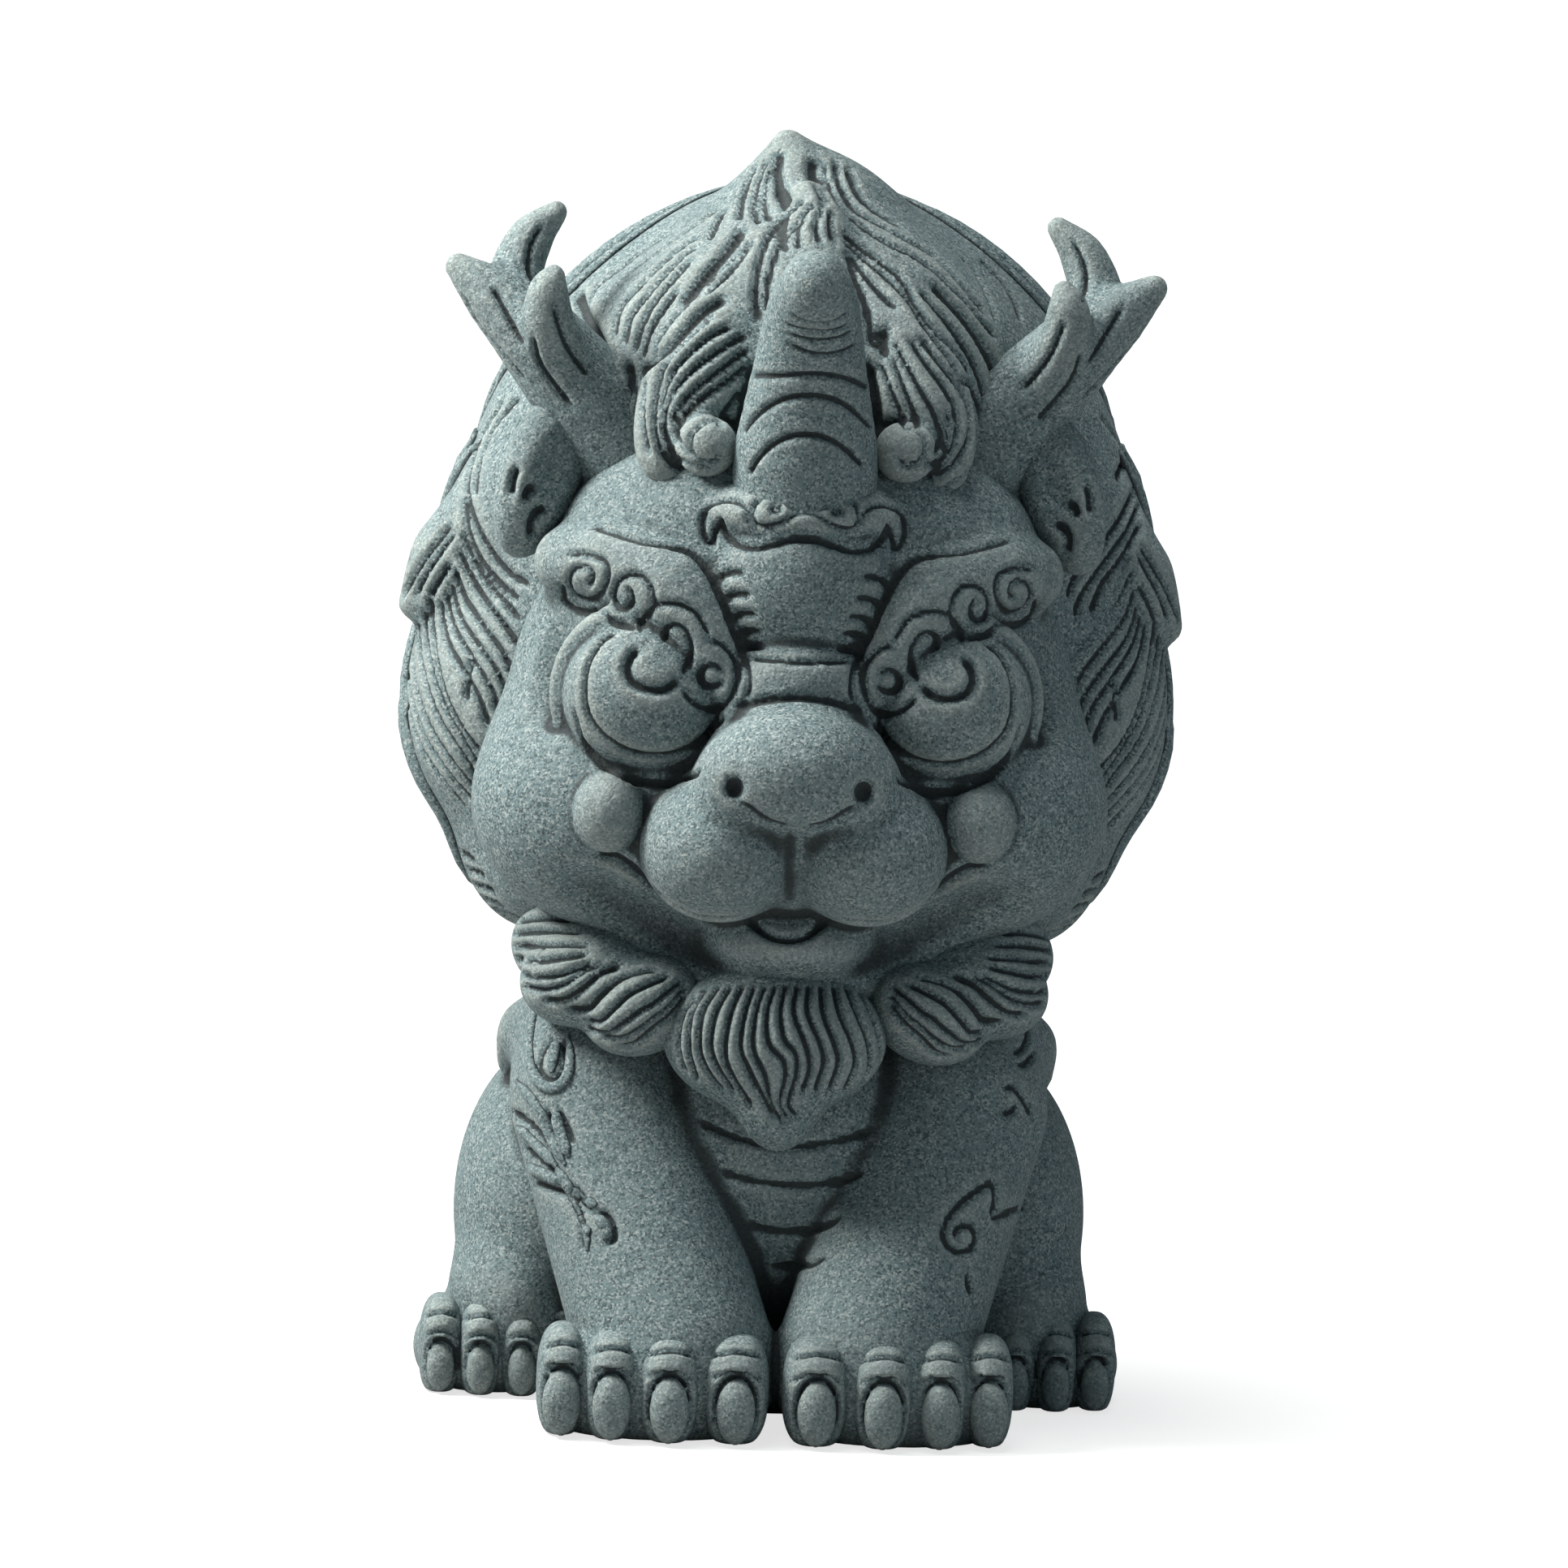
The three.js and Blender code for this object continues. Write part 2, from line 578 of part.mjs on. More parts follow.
const statue = new THREE.Group();
statue.add(
  piece("body_stone", bodyStone, granite),
  piece("tail_stone", tailJoint.stone, granite),
  piece("tail_bed", tailJoint.bed, resin),
  piece("tail_dowel", tailJoint.dowel, steel),
  piece("neck_bed", neckBed, mortar),
);
neckDowelPlaces().forEach((at, i) => {
  const dowel = bar(at, UPRIGHT, NECK_DOWEL.radius, NECK_DOWEL.length);
  statue.add(piece(["neck_dowel_right", "neck_dowel_left"][i], dowel, steel));
});

const head = new THREE.Group();
head.position.z = headLift;
head.add(
  piece("head_stone", headStone, granite),
  piece("antler_left", leftJoint.stone, granite),
  piece("antler_left_bed", leftJoint.bed, resin),
  piece("antler_left_dowel", leftJoint.dowel, steel),
  piece("antler_right", rightJoint.stone, granite),
  piece("antler_right_bed", rightJoint.bed, resin),
  piece("antler_right_dowel", rightJoint.dowel, steel),
  piece("forehead_horn", hornJoint.stone, granite),
  piece("horn_bed", hornJoint.bed, resin),
  piece("horn_dowel", hornJoint.dowel, steel),
);
statue.add(head);

export default statue;
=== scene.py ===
# %% [markdown]
# # A seated pixiu in grey granite
#
# A small guardian beast, half a metre high, carved from speckled grey-green granite. The stone is cut in
# three stages: big soft masses first, then the crisp forms on them, then the lines. This script works in
# the same order. Masses are distance fields turned into a skin, lines are cut into that skin, and locks that
# stand out are swept along paths with Geometry Nodes. Sizes are in millimetres until a mesh is made.

# %% The frame
import math
from collections import namedtuple
import bpy
import numpy as np
import openvdb
from mathutils import Euler, Matrix, Vector
from mathutils.bvhtree import BVHTree
from mathutils.kdtree import KDTree


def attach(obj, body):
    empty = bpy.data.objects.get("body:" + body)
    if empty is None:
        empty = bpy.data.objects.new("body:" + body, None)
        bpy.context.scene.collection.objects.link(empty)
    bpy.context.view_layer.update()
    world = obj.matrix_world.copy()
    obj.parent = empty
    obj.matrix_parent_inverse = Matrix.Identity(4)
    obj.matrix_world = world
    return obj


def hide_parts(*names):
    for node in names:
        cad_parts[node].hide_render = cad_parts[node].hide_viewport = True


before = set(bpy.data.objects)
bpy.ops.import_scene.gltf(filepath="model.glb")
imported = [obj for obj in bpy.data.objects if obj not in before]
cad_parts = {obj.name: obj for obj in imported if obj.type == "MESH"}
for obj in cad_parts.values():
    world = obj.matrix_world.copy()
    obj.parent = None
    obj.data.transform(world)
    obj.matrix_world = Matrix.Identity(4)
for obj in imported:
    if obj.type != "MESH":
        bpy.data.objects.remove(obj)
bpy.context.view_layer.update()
MM = 0.001

# %% [markdown]
# ## Where the photograph was taken from
#
# The statue stands a little turned and a little tilted in the picture, seen from slightly above.
# Knowing the camera first pays twice: it frames the final picture, and a line read off the photograph can
# be thrown back along its ray until it meets the stone, so every carved line lands on the surface itself.

# %% The camera
PHOTO_SIDE = 1932
PIXELS_PER_MM = 3.15
GROUND_PIXEL = (975, 1716)
ROLL_PIVOT = (975, 1000)
VIEW_TURN = -2.0
VIEW_RISE = 7.0
VIEW_ROLL = 2.0
VIEW_DISTANCE = 6000.0
CENTRE_SHIFT = 2.5
SENSOR = 36.0


def view_axes():
    """Right, up and forward of the camera before it is rolled."""
    turn = math.radians(VIEW_TURN)
    rise = math.radians(VIEW_RISE)
    right = np.array([math.cos(turn), math.sin(turn), 0.0])
    back = np.array([math.sin(turn) * math.cos(rise), -math.cos(turn) * math.cos(rise), math.sin(rise)])
    return right, np.cross(back, right), -back


RIGHT, UP, FORWARD = view_axes()


def upright(pixels):
    """Photo pixels as millimetres across and up, with the picture's tilt taken out."""
    roll = math.radians(VIEW_ROLL)
    away = np.array(pixels, float) - ROLL_PIVOT
    across = away[:, 0] * math.cos(roll) + away[:, 1] * math.sin(roll)
    down = away[:, 1] * math.cos(roll) - away[:, 0] * math.sin(roll)
    across = (across + ROLL_PIVOT[0] - GROUND_PIXEL[0]) / PIXELS_PER_MM
    up = (GROUND_PIXEL[1] - down - ROLL_PIVOT[1]) / PIXELS_PER_MM
    return np.stack([across, up], axis=1)


def in_view_plane(spots):
    """Upright millimetres as points of the plane through the origin that faces the camera."""
    spots = np.array(spots, float)
    return np.outer(spots[:, 0] + CENTRE_SHIFT, RIGHT) + np.outer(spots[:, 1], UP)


AIM = in_view_plane(upright([(PHOTO_SIDE / 2, PHOTO_SIDE / 2)]))[0]
EYE_POINT = AIM - FORWARD * VIEW_DISTANCE


def make_camera():
    lens = bpy.data.cameras.new("camera")
    lens.sensor_width = SENSOR
    lens.lens = SENSOR * VIEW_DISTANCE * PIXELS_PER_MM / PHOTO_SIDE
    camera = bpy.data.objects.new("camera", lens)
    bpy.context.scene.collection.objects.link(camera)
    axes = Matrix(np.stack([RIGHT, UP, -FORWARD], axis=1).tolist())
    turned_axes = axes @ Matrix.Rotation(math.radians(VIEW_ROLL), 3, "Z")
    camera.matrix_world = Matrix.Translation(EYE_POINT * MM) @ turned_axes.to_4x4()
    bpy.context.scene.camera = camera
    return camera


camera = make_camera()
print("camera lens:", round(camera.data.lens, 1), "mm at", [round(c) for c in EYE_POINT])

# %% [markdown]
# ## Soft masses
#
# A carver thinks in bulges. A distance field says, for any point, how far it is from the stone; joining two
# fields with a soft minimum fillets the crease between two bulges, and the blend width is the fillet. Each
# form is a function plus a centre and a reach, so that only the part of the grid near it is worked on.
# Metaballs or sculpting could give such masses too, but metaballs share one blend and a sculpted stroke can't
# be written down as a size.

# %% Forms
FAR_AWAY = 1e3
TINY = 1e-6
MARGIN = 8


def turned(degrees):
    """The matrix of three turns, about Z first, then Y, then X."""
    return np.array(Euler([math.radians(d) for d in degrees], "ZYX").to_matrix())


def egg(at, radii, turn=(0, 0, 0)):
    """An ellipsoid."""
    axes = turned(turn)
    size = np.array(radii, float)
    centre = np.array(at, float)

    def distance(points):
        local = (points - centre) @ axes
        near = np.linalg.norm(local / size, axis=-1)
        slope = np.linalg.norm(local / size**2, axis=-1)
        return near * (near - 1) / np.maximum(slope, TINY)

    return distance, centre, max(radii)


def block(at, radii, power=2.6):
    """A rounded block: an ellipsoid with a higher power than two."""
    size = np.array(radii, float)
    centre = np.array(at, float)

    def distance(points):
        local = np.abs(points - centre) / size
        return ((local**power).sum(axis=-1) ** (1 / power) - 1) * size.min()

    return distance, centre, max(radii)


def ring(at, radius, thickness, turn=(0, 0, 0)):
    """A torus round the local Y axis."""
    axes = turned(turn)
    centre = np.array(at, float)

    def distance(points):
        local = (points - centre) @ axes
        out = np.hypot(local[..., 0], local[..., 2]) - radius
        return np.hypot(out, local[..., 1]) - thickness

    return distance, centre, radius + thickness


def smooth_path(points, count):
    """A path through the points (Catmull-Rom), resampled to count places."""
    points = np.array(points, float)
    padded = np.vstack([2 * points[0] - points[1], points, 2 * points[-1] - points[-2]])
    places = np.linspace(0, len(points) - 1, count)
    first = np.minimum(places.astype(int), len(points) - 2)
    t = (places - first)[:, None]
    a, b, c, d = (padded[first + k] for k in range(4))
    return 0.5 * (2 * b + (c - a) * t + (2 * a - 5 * b + 4 * c - d) * t**2 + (3 * b - a - 3 * c + d) * t**3)


def limb(points, radii, parts=16):
    """A tapering tube along a smooth path."""
    path = smooth_path(points, parts + 1)
    sizes = np.interp(np.linspace(0, len(radii) - 1, parts + 1), range(len(radii)), radii)
    centre = path.mean(axis=0)

    def distance(places):
        best = np.full(places.shape[:-1], FAR_AWAY)
        for a, b, ra, rb in zip(path[:-1], path[1:], sizes[:-1], sizes[1:]):
            along = np.clip((places - a) @ (b - a) / ((b - a) @ (b - a)), 0, 1)
            off = np.linalg.norm(places - a - along[..., None] * (b - a), axis=-1)
            best = np.minimum(best, off - ra - along * (rb - ra))
        return best

    return distance, centre, np.linalg.norm(path - centre, axis=1).max() + max(radii)


def flat(normal, offset):
    """The distance to the half of space behind a plane."""
    normal = np.array(normal, float)

    def distance(points):
        return points @ normal - offset

    return distance


def soft_union(a, b, blend):
    mix = np.clip(0.5 + 0.5 * (b - a) / blend, 0, 1)
    return b * (1 - mix) + a * mix - blend * mix * (1 - mix)


class Field:
    """A grid of points from a low to a high corner, each with its distance from the stone so far."""

    def __init__(self, low, high, step):
        self.low = np.array(low, float)
        self.step = step
        axes = [np.arange(a, b + step, step) for a, b in zip(low, high)]
        self.points = np.stack(np.meshgrid(*axes, indexing="ij"), axis=-1)
        self.distance = np.full(self.points.shape[:3], FAR_AWAY)

    def near(self, centre, reach):
        """The slices of the grid within reach of a centre."""
        first = np.maximum(((centre - reach - self.low) / self.step).astype(int), 0)
        last = ((centre + reach - self.low) / self.step).astype(int) + 2
        return tuple(slice(a, max(a, b)) for a, b in zip(first, last))

    def add(self, form, blend=3.0):
        distance, centre, reach = form
        part = self.near(centre, reach + blend + MARGIN)
        self.distance[part] = soft_union(self.distance[part], distance(self.points[part]), blend)

    def cut(self, form, blend=3.0):
        distance, centre, reach = form
        part = self.near(centre, reach + blend + MARGIN)
        self.distance[part] = -soft_union(-self.distance[part], distance(self.points[part]), blend)

    def add_all(self, groups):
        """Adds groups of forms, each group with its blend."""
        for forms, blend in groups:
            for form in forms:
                self.add(form, blend)

    def cut_all(self, groups):
        for forms, blend in groups:
            for form in forms:
                self.cut(form, blend)

    def keep(self, distance, blend=1.0):
        """Keeps only what lies behind a plane."""
        self.distance = -soft_union(-self.distance, -distance(self.points), blend)


def mirrored(place):
    return (-place[0], *place[1:])


def both(make, at, *sizes, turn=(0, 0, 0)):
    """A form on the statue's left and its mirror image on the right."""
    other = (turn[0], -turn[1], -turn[2])
    return make(at, *sizes, turn=turn), make(mirrored(at), *sizes, turn=other)


def limb_on(side, points, radii):
    """A limb drawn for the statue's left, on the left for side 1 and on the right for side -1."""
    return limb([(side * x, y, z) for x, y, z in points], radii)


def both_limbs(points, radii):
    return limb_on(1, points, radii), limb_on(-1, points, radii)


print("forms ready")

# %% [markdown]
# ## From field to stone
#
# The zero level of a field is meshed by the volume library that comes with the program and relaxed a little
# with a Smooth modifier. The grid is fine enough to leave a vertex every millimetre or two to cut with. A
# Remesh modifier would do much the same, but it needs a mesh to start from, and a field needs none.

# %% Skins
OUTSIDE_VALUE = 100.0
RELAX_FACTOR = 0.5
SHARP = 0.1


def linked(name, mesh):
    piece = bpy.data.objects.new(name, mesh)
    bpy.context.scene.collection.objects.link(piece)
    return piece


def evaluated_mesh(piece):
    """The plain mesh that a piece's modifiers make; the modifiers are taken off."""
    depsgraph = bpy.context.evaluated_depsgraph_get()
    made = bpy.data.meshes.new_from_object(piece.evaluated_get(depsgraph))
    piece.modifiers.clear()
    piece.data = made
    made.name = piece.name
    return made


def skin(field, name, inset=0.0, relax=4):
    grid = openvdb.FloatGrid(OUTSIDE_VALUE)
    grid.copyFromArray(np.ascontiguousarray(field.distance, dtype=np.float32))
    points, quads = grid.convertToQuads(-inset)
    mesh = bpy.data.meshes.new(name)
    mesh.from_pydata(((points * field.step + field.low) * MM).tolist(), [], quads.tolist())
    piece = linked(name, mesh)
    smoother = piece.modifiers.new("relax", "SMOOTH")
    smoother.factor = RELAX_FACTOR
    smoother.iterations = relax
    evaluated_mesh(piece)
    piece.data.shade_smooth()
    print(name, len(piece.data.polygons), "faces")
    return piece


def corners_of(piece):
    """A piece's vertices in mm."""
    flat_list = np.empty(len(piece.data.vertices) * 3, np.float32)
    piece.data.vertices.foreach_get("co", flat_list)
    return flat_list.reshape(-1, 3).astype(float) / MM


def normals_of(piece):
    flat_list = np.empty(len(piece.data.vertices) * 3, np.float32)
    piece.data.vertex_normals.foreach_get("vector", flat_list)
    return flat_list.reshape(-1, 3).astype(float)


def set_corners(piece, places):
    piece.data.vertices.foreach_set("co", (places * MM).astype(np.float32).ravel())
    piece.data.update()


def surface_of(piece):
    """A search tree over a piece's faces, in mm."""
    faces = [tuple(face.vertices) for face in piece.data.polygons]
    return BVHTree.FromPolygons(corners_of(piece).tolist(), faces)


print("skin tools ready")

# %% [markdown]
# ## Lines on stone
#
# Nearly every line on the statue is a groove a few millimetres wide with soft shoulders. A bump texture would
# leave the outline smooth, and cutting hundreds of thin solids away is slow and fragile. So a line is read
# off an enlarged part of the photograph, thrown onto the stone along the camera's rays, and every vertex
# close to it is pushed in along its normal.

# %% Grooves
FRONT_DEPTH = 100.0
FADE_START = 0.5
# fade is the length over which a groove runs out at both ends
Groove = namedtuple("Groove", "width depth fade", defaults=[4.0])


class Sheet:
    """An enlarged part of the photograph that lines were read from."""

    def __init__(self, corner, zoom):
        self.corner = np.array(corner, float)
        self.zoom = zoom

    def spots(self, points):
        return upright(np.array(points, float) / self.zoom + self.corner)


def dense(points, spacing):
    """A smooth line through the points with a place about every spacing."""
    points = np.array(points, float)
    length = np.linalg.norm(np.diff(points, axis=0), axis=1).sum()
    return smooth_path(points, max(int(length / spacing), 4))


def thrown(surface, spots):
    """Where the rays through upright spots meet a surface, and the normals there."""
    hits, normals = [], []
    depth = VIEW_DISTANCE - FRONT_DEPTH
    for target in in_view_plane(spots):
        ray = (target - EYE_POINT) / np.linalg.norm(target - EYE_POINT)
        place, normal, face_index, far = surface.ray_cast(EYE_POINT.tolist(), ray.tolist())
        if place is None:
            place, normal = surface.find_nearest((EYE_POINT + ray * depth).tolist())[:2]
        else:
            depth = far
        hits.append(place)
        normals.append(normal)
    return np.array(hits), np.array(normals)


def on_stone(surface, spots, spacing=0.6):
    return thrown(surface, dense(spots, spacing))[0]


def lines_on(surface, sheet, lines):
    return [on_stone(surface, sheet.spots(line)) for line in lines]


def flipped(line):
    return np.array(line) * (-1, 1, 1)


def fading(line, fade):
    """How fully a line is cut at each of its places: less and less over the last few mm of both ends."""
    if not fade:
        return np.ones(len(line))
    run = np.concatenate([[0], np.cumsum(np.linalg.norm(np.diff(line, axis=0), axis=1))])
    ends = np.minimum(run, run[-1] - run)
    return np.clip((ends + FADE_START) / fade, 0, 1)


def carve(piece, lines, groove):
    """Cuts lines into a piece."""
    samples = np.vstack(lines)
    strength = np.concatenate([fading(line, groove.fade) for line in lines])
    tree = KDTree(len(samples))
    for index, place in enumerate(samples):
        tree.insert(place, index)
    tree.balance()
    places = corners_of(piece)
    normals = normals_of(piece)
    half = groove.width / 2
    low = samples.min(axis=0) - half
    high = samples.max(axis=0) + half
    close = np.nonzero(((places > low) & (places < high)).all(axis=1))[0]
    for vertex in close:
        spot, index, far = tree.find(places[vertex])
        if far < half:
            profile = (1 - (far / half) ** 2) ** 2
            places[vertex] -= normals[vertex] * groove.depth * strength[index] * profile
    set_corners(piece, places)


def mark_hollows(piece, passes=12, scale=1.2):
    """Stores, for each vertex, how far it lies below its surroundings, for dirt and painted shade in the
    grooves.
    """
    places = corners_of(piece)
    normals = normals_of(piece)
    edges = np.empty(len(piece.data.edges) * 2, np.int32)
    piece.data.edges.foreach_get("vertices", edges)
    a, b = edges.reshape(-1, 2).T
    count = len(places)
    share = np.maximum(np.bincount(a, minlength=count) + np.bincount(b, minlength=count), 1)
    soft = places.copy()
    for _ in range(passes):
        for axis in range(3):
            total = np.bincount(a, soft[b, axis], count) + np.bincount(b, soft[a, axis], count)
            soft[:, axis] = total / share
    sunk = ((soft - places) * normals).sum(axis=1) / scale
    layer = piece.data.attributes.new("hollow", "FLOAT", "POINT")
    layer.data.foreach_set("value", np.clip(sunk, -1, 1).astype(np.float32))


print("carving tools ready")

# %% [markdown]
# ## Head: the mane
#
# The head is one great rounded mass of hair with the face set into its front: the dome, the crown with its
# curled tip, the side locks and the nape. A subdivided ball could be pulled into shape, but every lock would
# need edge loops of its own, and in a field it is one more bulge. The front half is meshed finer than the
# back, because the front gets cut lines and the back gets swept locks that cover it.

# %% Mane core
MANE = egg((2, 30, 299), (140, 106, 174))
CROWN = egg((0, 6, 429), (56, 46, 46))
CROWN_PEAK = egg((4, 6, 456), (31, 26, 30))
CROWN_FRONT = egg((0, -22, 389), (88, 58, 76))
CROWN_TIP = limb([(-2, 8, 455), (-8, 6, 490)], [24, 5.5])
CROWN_TUFT = limb([(2, -44, 432), (3, -38, 455), (0, -26, 470)], [17, 14, 9])
NAPE = egg((0, 90, 175), (78, 40, 60), (8, 0, 0))
SIDE_LOCKS = both(egg, (117, 6, 270), (31, 50, 52), turn=(0, 0, -14))
LOW_LOCKS = both(egg, (97, -4, 221), (28, 50, 41), turn=(0, 0, -20))
FLAMES = both_limbs([(104, 6, 338), (128, 8, 322), (148, 10, 305)], [30, 22, 6])
FORELOCKS = both(egg, (42, -66, 402), (21, 17, 44), turn=(-22, -20, 0))
CURLS = both(egg, (38, -90, 380), (13, 12, 13))
MANE_FORMS = [
    ((MANE, CROWN, CROWN_PEAK, CROWN_FRONT, CROWN_TIP, NAPE), 16),
    (SIDE_LOCKS + LOW_LOCKS + FLAMES, 12),
    (FORELOCKS + (CROWN_TUFT,), 6),
    (CURLS, 2),
]
MANE_ACROSS = (-160, 160)
MANE_UPWARD = (100, 510)
MANE_SPLIT = 36
SPLIT_OVERLAP = 4
FRONT_DEPTHS = (-135, MANE_SPLIT + 6)
BACK_DEPTHS = (MANE_SPLIT - 10, 145)


def mane_half(name, depths, step, inset, kept):
    low, high = zip(MANE_ACROSS, depths, MANE_UPWARD)
    field = Field(low, high, step)
    field.add_all(MANE_FORMS)
    field.keep(kept, SHARP)
    return skin(field, name, inset=inset)


BEFORE_SPLIT = flat((0, 1, 0), MANE_SPLIT)
BEHIND_SPLIT = flat((0, -1, 0), SPLIT_OVERLAP - MANE_SPLIT)
mane_front = mane_half("mane_front", FRONT_DEPTHS, step=1.9, inset=1.0, kept=BEFORE_SPLIT)
mane_back = mane_half("mane_back", BACK_DEPTHS, step=3.0, inset=1.5, kept=BEHIND_SPLIT)

# %% [markdown]
# ## Head: the face
#
# A broad, good-natured face with bulging eyes and a soft muzzle. One soft mass would lose its creases, so
# cheeks and forehead are blended wide, and eyeballs and muzzle are then set on with tight blends that keep
# theirs crisp. The back is cut off flat inside the mane.

# %% Face
FACE_MASSES = (
    egg((0, -36, 273), (110, 72, 100)),
    egg((0, -48, 339), (92, 58, 50)),
    *both(egg, (66, -50, 238), (57, 58, 50)),
    egg((0, -58, 192), (68, 46, 36)),
)
BROWS = both_limbs(
    [(88, -62, 331), (70, -82, 333), (50, -97, 325), (36, -104, 308), (28, -106, 290)],
    [14, 16, 16, 12, 8],
)
EYEBALLS = both(egg, (57, -88, 284), (33, 31, 33))
EYE_RIMS = both(ring, (58, -97, 282), 35, 4.6, turn=(6, 0, 22))
BRIDGE = egg((0, -104, 290), (29, 20, 20))
MUZZLE = egg((0, -95, 236), (52, 38, 33))
NOSE = egg((0, -124, 260), (34, 30, 25))
NOSE_WINGS = both(egg, (24, -120, 254), (15, 22, 16))
MUZZLE_PADS = both(egg, (28, -106, 228), (31, 37, 29))
NODULES = both(egg, (71, -104, 240), (14, 15, 16))
LOWER_LIP = egg((0, -88, 190), (28, 26, 13))
FOREHEAD_BALL = egg((0, -90, 330), (37, 30, 36))
CREST_PLATE = egg((0, -84, 356), (41, 35, 15))
NOSTRILS = both(egg, (25, -148, 255), (4.5, 9, 5.5))
MOUTH = egg((0, -128, 198), (12, 16, 7))
EYE_SOCKETS = both(egg, (95, -87, 296), (14, 21, 27))
JAW_HOLLOWS = both(egg, (58, -110, 192), (46, 34, 20), turn=(0, -24, 0))
FACE_BULGES = [
    (EYEBALLS + EYE_RIMS, 1.5),
    ((FOREHEAD_BALL,), 3),
    ((CREST_PLATE,), 2),
    ((BRIDGE, MUZZLE), 4),
    ((LOWER_LIP,), 9),
    (MUZZLE_PADS, 3),
    (NODULES, 0.8),
    ((NOSE,), 8),
    (NOSE_WINGS, 10),
]
FACE_BACK = flat((0, 1, 0), -24)
FACE_GRID = ((-128, -165, 140), (128, -18, 400), 1.6)


def face_stone():
    field = Field(*FACE_GRID)
    field.add_all([(FACE_MASSES, 18), (BROWS, 6)])
    field.cut_all([(JAW_HOLLOWS + EYE_SOCKETS, 8)])
    field.add_all(FACE_BULGES)
    field.cut_all([(NOSTRILS, 2), ((MOUTH,), 3)])
    field.keep(FACE_BACK, SHARP)
    return skin(field, "face")


face = face_stone()

# %% [markdown]
# ### Lines on the face
#
# Cloud scrolls curl over each eye, notches run up both sides of the forehead ball, and a cloud-shaped crest
# sits under the horn. A line is read where the photograph shows it best, on one half of the face, and
# mirrored, because the carver made both halves alike.

# %% Face lines
LEFT_SHEET = Sheet((488, 500), 3.136)
RIGHT_SHEET = Sheet((960, 500), 3.015)
EYE_LINES = [
    [(660, 575), (735, 575), (800, 600), (815, 650), (800, 710), (765, 750), (720, 745), (680, 715),
     (665, 670), (685, 632), (725, 622), (755, 650), (745, 690), (718, 688)],
    [(965, 830), (990, 770), (985, 710), (950, 660), (900, 655), (855, 680), (838, 730), (855, 780),
     (890, 785), (910, 755), (900, 715), (875, 715)],
    [(940, 880), (950, 835), (985, 785), (1040, 765), (1100, 770), (1160, 800), (1190, 850), (1215, 900)],
    [(1065, 912), (1042, 895), (1042, 862), (1078, 850), (1115, 872), (1135, 930), (1130, 990),
     (1105, 1045)],
    [(1190, 905), (1250, 915), (1300, 960), (1320, 1010), (1312, 1080), (1280, 1140), (1230, 1175),
     (1170, 1160), (1125, 1120), (1108, 1085)],
    [(760, 465), (850, 495), (950, 525), (1060, 545), (1140, 570), (1190, 620), (1230, 690), (1265, 770),
     (1300, 870), (1335, 950), (1355, 1010), (1360, 1090), (1340, 1140)],
    [(640, 690), (650, 750), (690, 790), (750, 800), (795, 790), (830, 830), (880, 850), (935, 860)],
]
EYE_RING = (1218, 1045, 42)
PUPIL_LINE = [(945, 930), (908, 962), (890, 1010), (905, 1060), (950, 1090), (1010, 1100), (1060, 1085),
              (1100, 1048)]
LID_LINES = [
    [(850, 870), (790, 910), (745, 980), (725, 1060), (725, 1140), (745, 1210), (790, 1270), (850, 1315),
     (920, 1345), (1000, 1355), (1080, 1345), (1150, 1315), (1210, 1270), (1265, 1200)],
]
FACE_LEFT = Sheet((480, 640), 1.45)
RIM_LINE = [(325, 335), (345, 395), (385, 440), (440, 468), (500, 472), (555, 450)]
BALL_NOTCHES = [
    [(1240, 690), (1258, 657), (1300, 645), (1350, 650)],
    [(1268, 765), (1288, 738), (1330, 730), (1375, 738)],
    [(1296, 835), (1318, 812), (1358, 806), (1398, 812)],
    [(1316, 895), (1340, 876), (1378, 872), (1412, 878)],
    [(1332, 948), (1360, 934), (1395, 930), (1425, 936)],
]
BRIDGE_LINES = [
    [(1360, 968), (1430, 978), (1540, 988), (1650, 990)],
    [(1312, 1165), (1370, 1150), (1440, 1135), (1540, 1128), (1640, 1130)],
]
CREST_LINES = [
    [(84, 362), (120, 375), (160, 375), (175, 355), (210, 335), (260, 345), (295, 380), (300, 420),
     (285, 455), (240, 460), (190, 440), (140, 405), (84, 390)],
    [(84, 500), (130, 500), (200, 520), (280, 542), (345, 532), (385, 495), (400, 455)],
    [(312, 440), (325, 395), (360, 370), (410, 372), (455, 400), (470, 450), (460, 510), (432, 530),
     (422, 490), (404, 446)],
]
CREST_EYE = (216, 388, 14)
MOUTH_SHEET = Sheet((760, 900), 3.733)
LIP_LINES = [
    [(-95, 588), (-20, 592), (60, 640), (150, 715), (250, 800), (360, 855), (480, 868), (580, 860)],
]
NOSE_LINES = [
    [(540, 330), (600, 352), (660, 395), (720, 425), (800, 445)],
]
PHILTRUM = [(800, 430), (800, 560), (797, 700), (798, 800)]
MOUTH_LINE = [(600, 868), (640, 905), (710, 948), (790, 962), (870, 945), (930, 905), (970, 868)]
EYE_GROOVE = Groove(4.2, 2.4)
LID_GROOVE = Groove(5.0, 3.2)
PUPIL_GROOVE = Groove(6.5, 4.0)
NOTCH_GROOVE = Groove(4.5, 2.4)
CREST_GROOVE = Groove(4.0, 2.6, fade=0)
LIP_GROOVE = Groove(9.0, 4.5)
NOSE_GROOVE = Groove(4.5, 2.0)
PHILTRUM_GROOVE = Groove(7.0, 0.6)
MOUTH_GROOVE = Groove(5.0, 3.5)
CIRCLE_PLACES = 13


def circle(spot):
    x, y, radius = spot
    turns = np.linspace(0, 2 * math.pi, CIRCLE_PLACES)
    return np.stack([x + radius * np.cos(turns), y + radius * np.sin(turns)], axis=1)


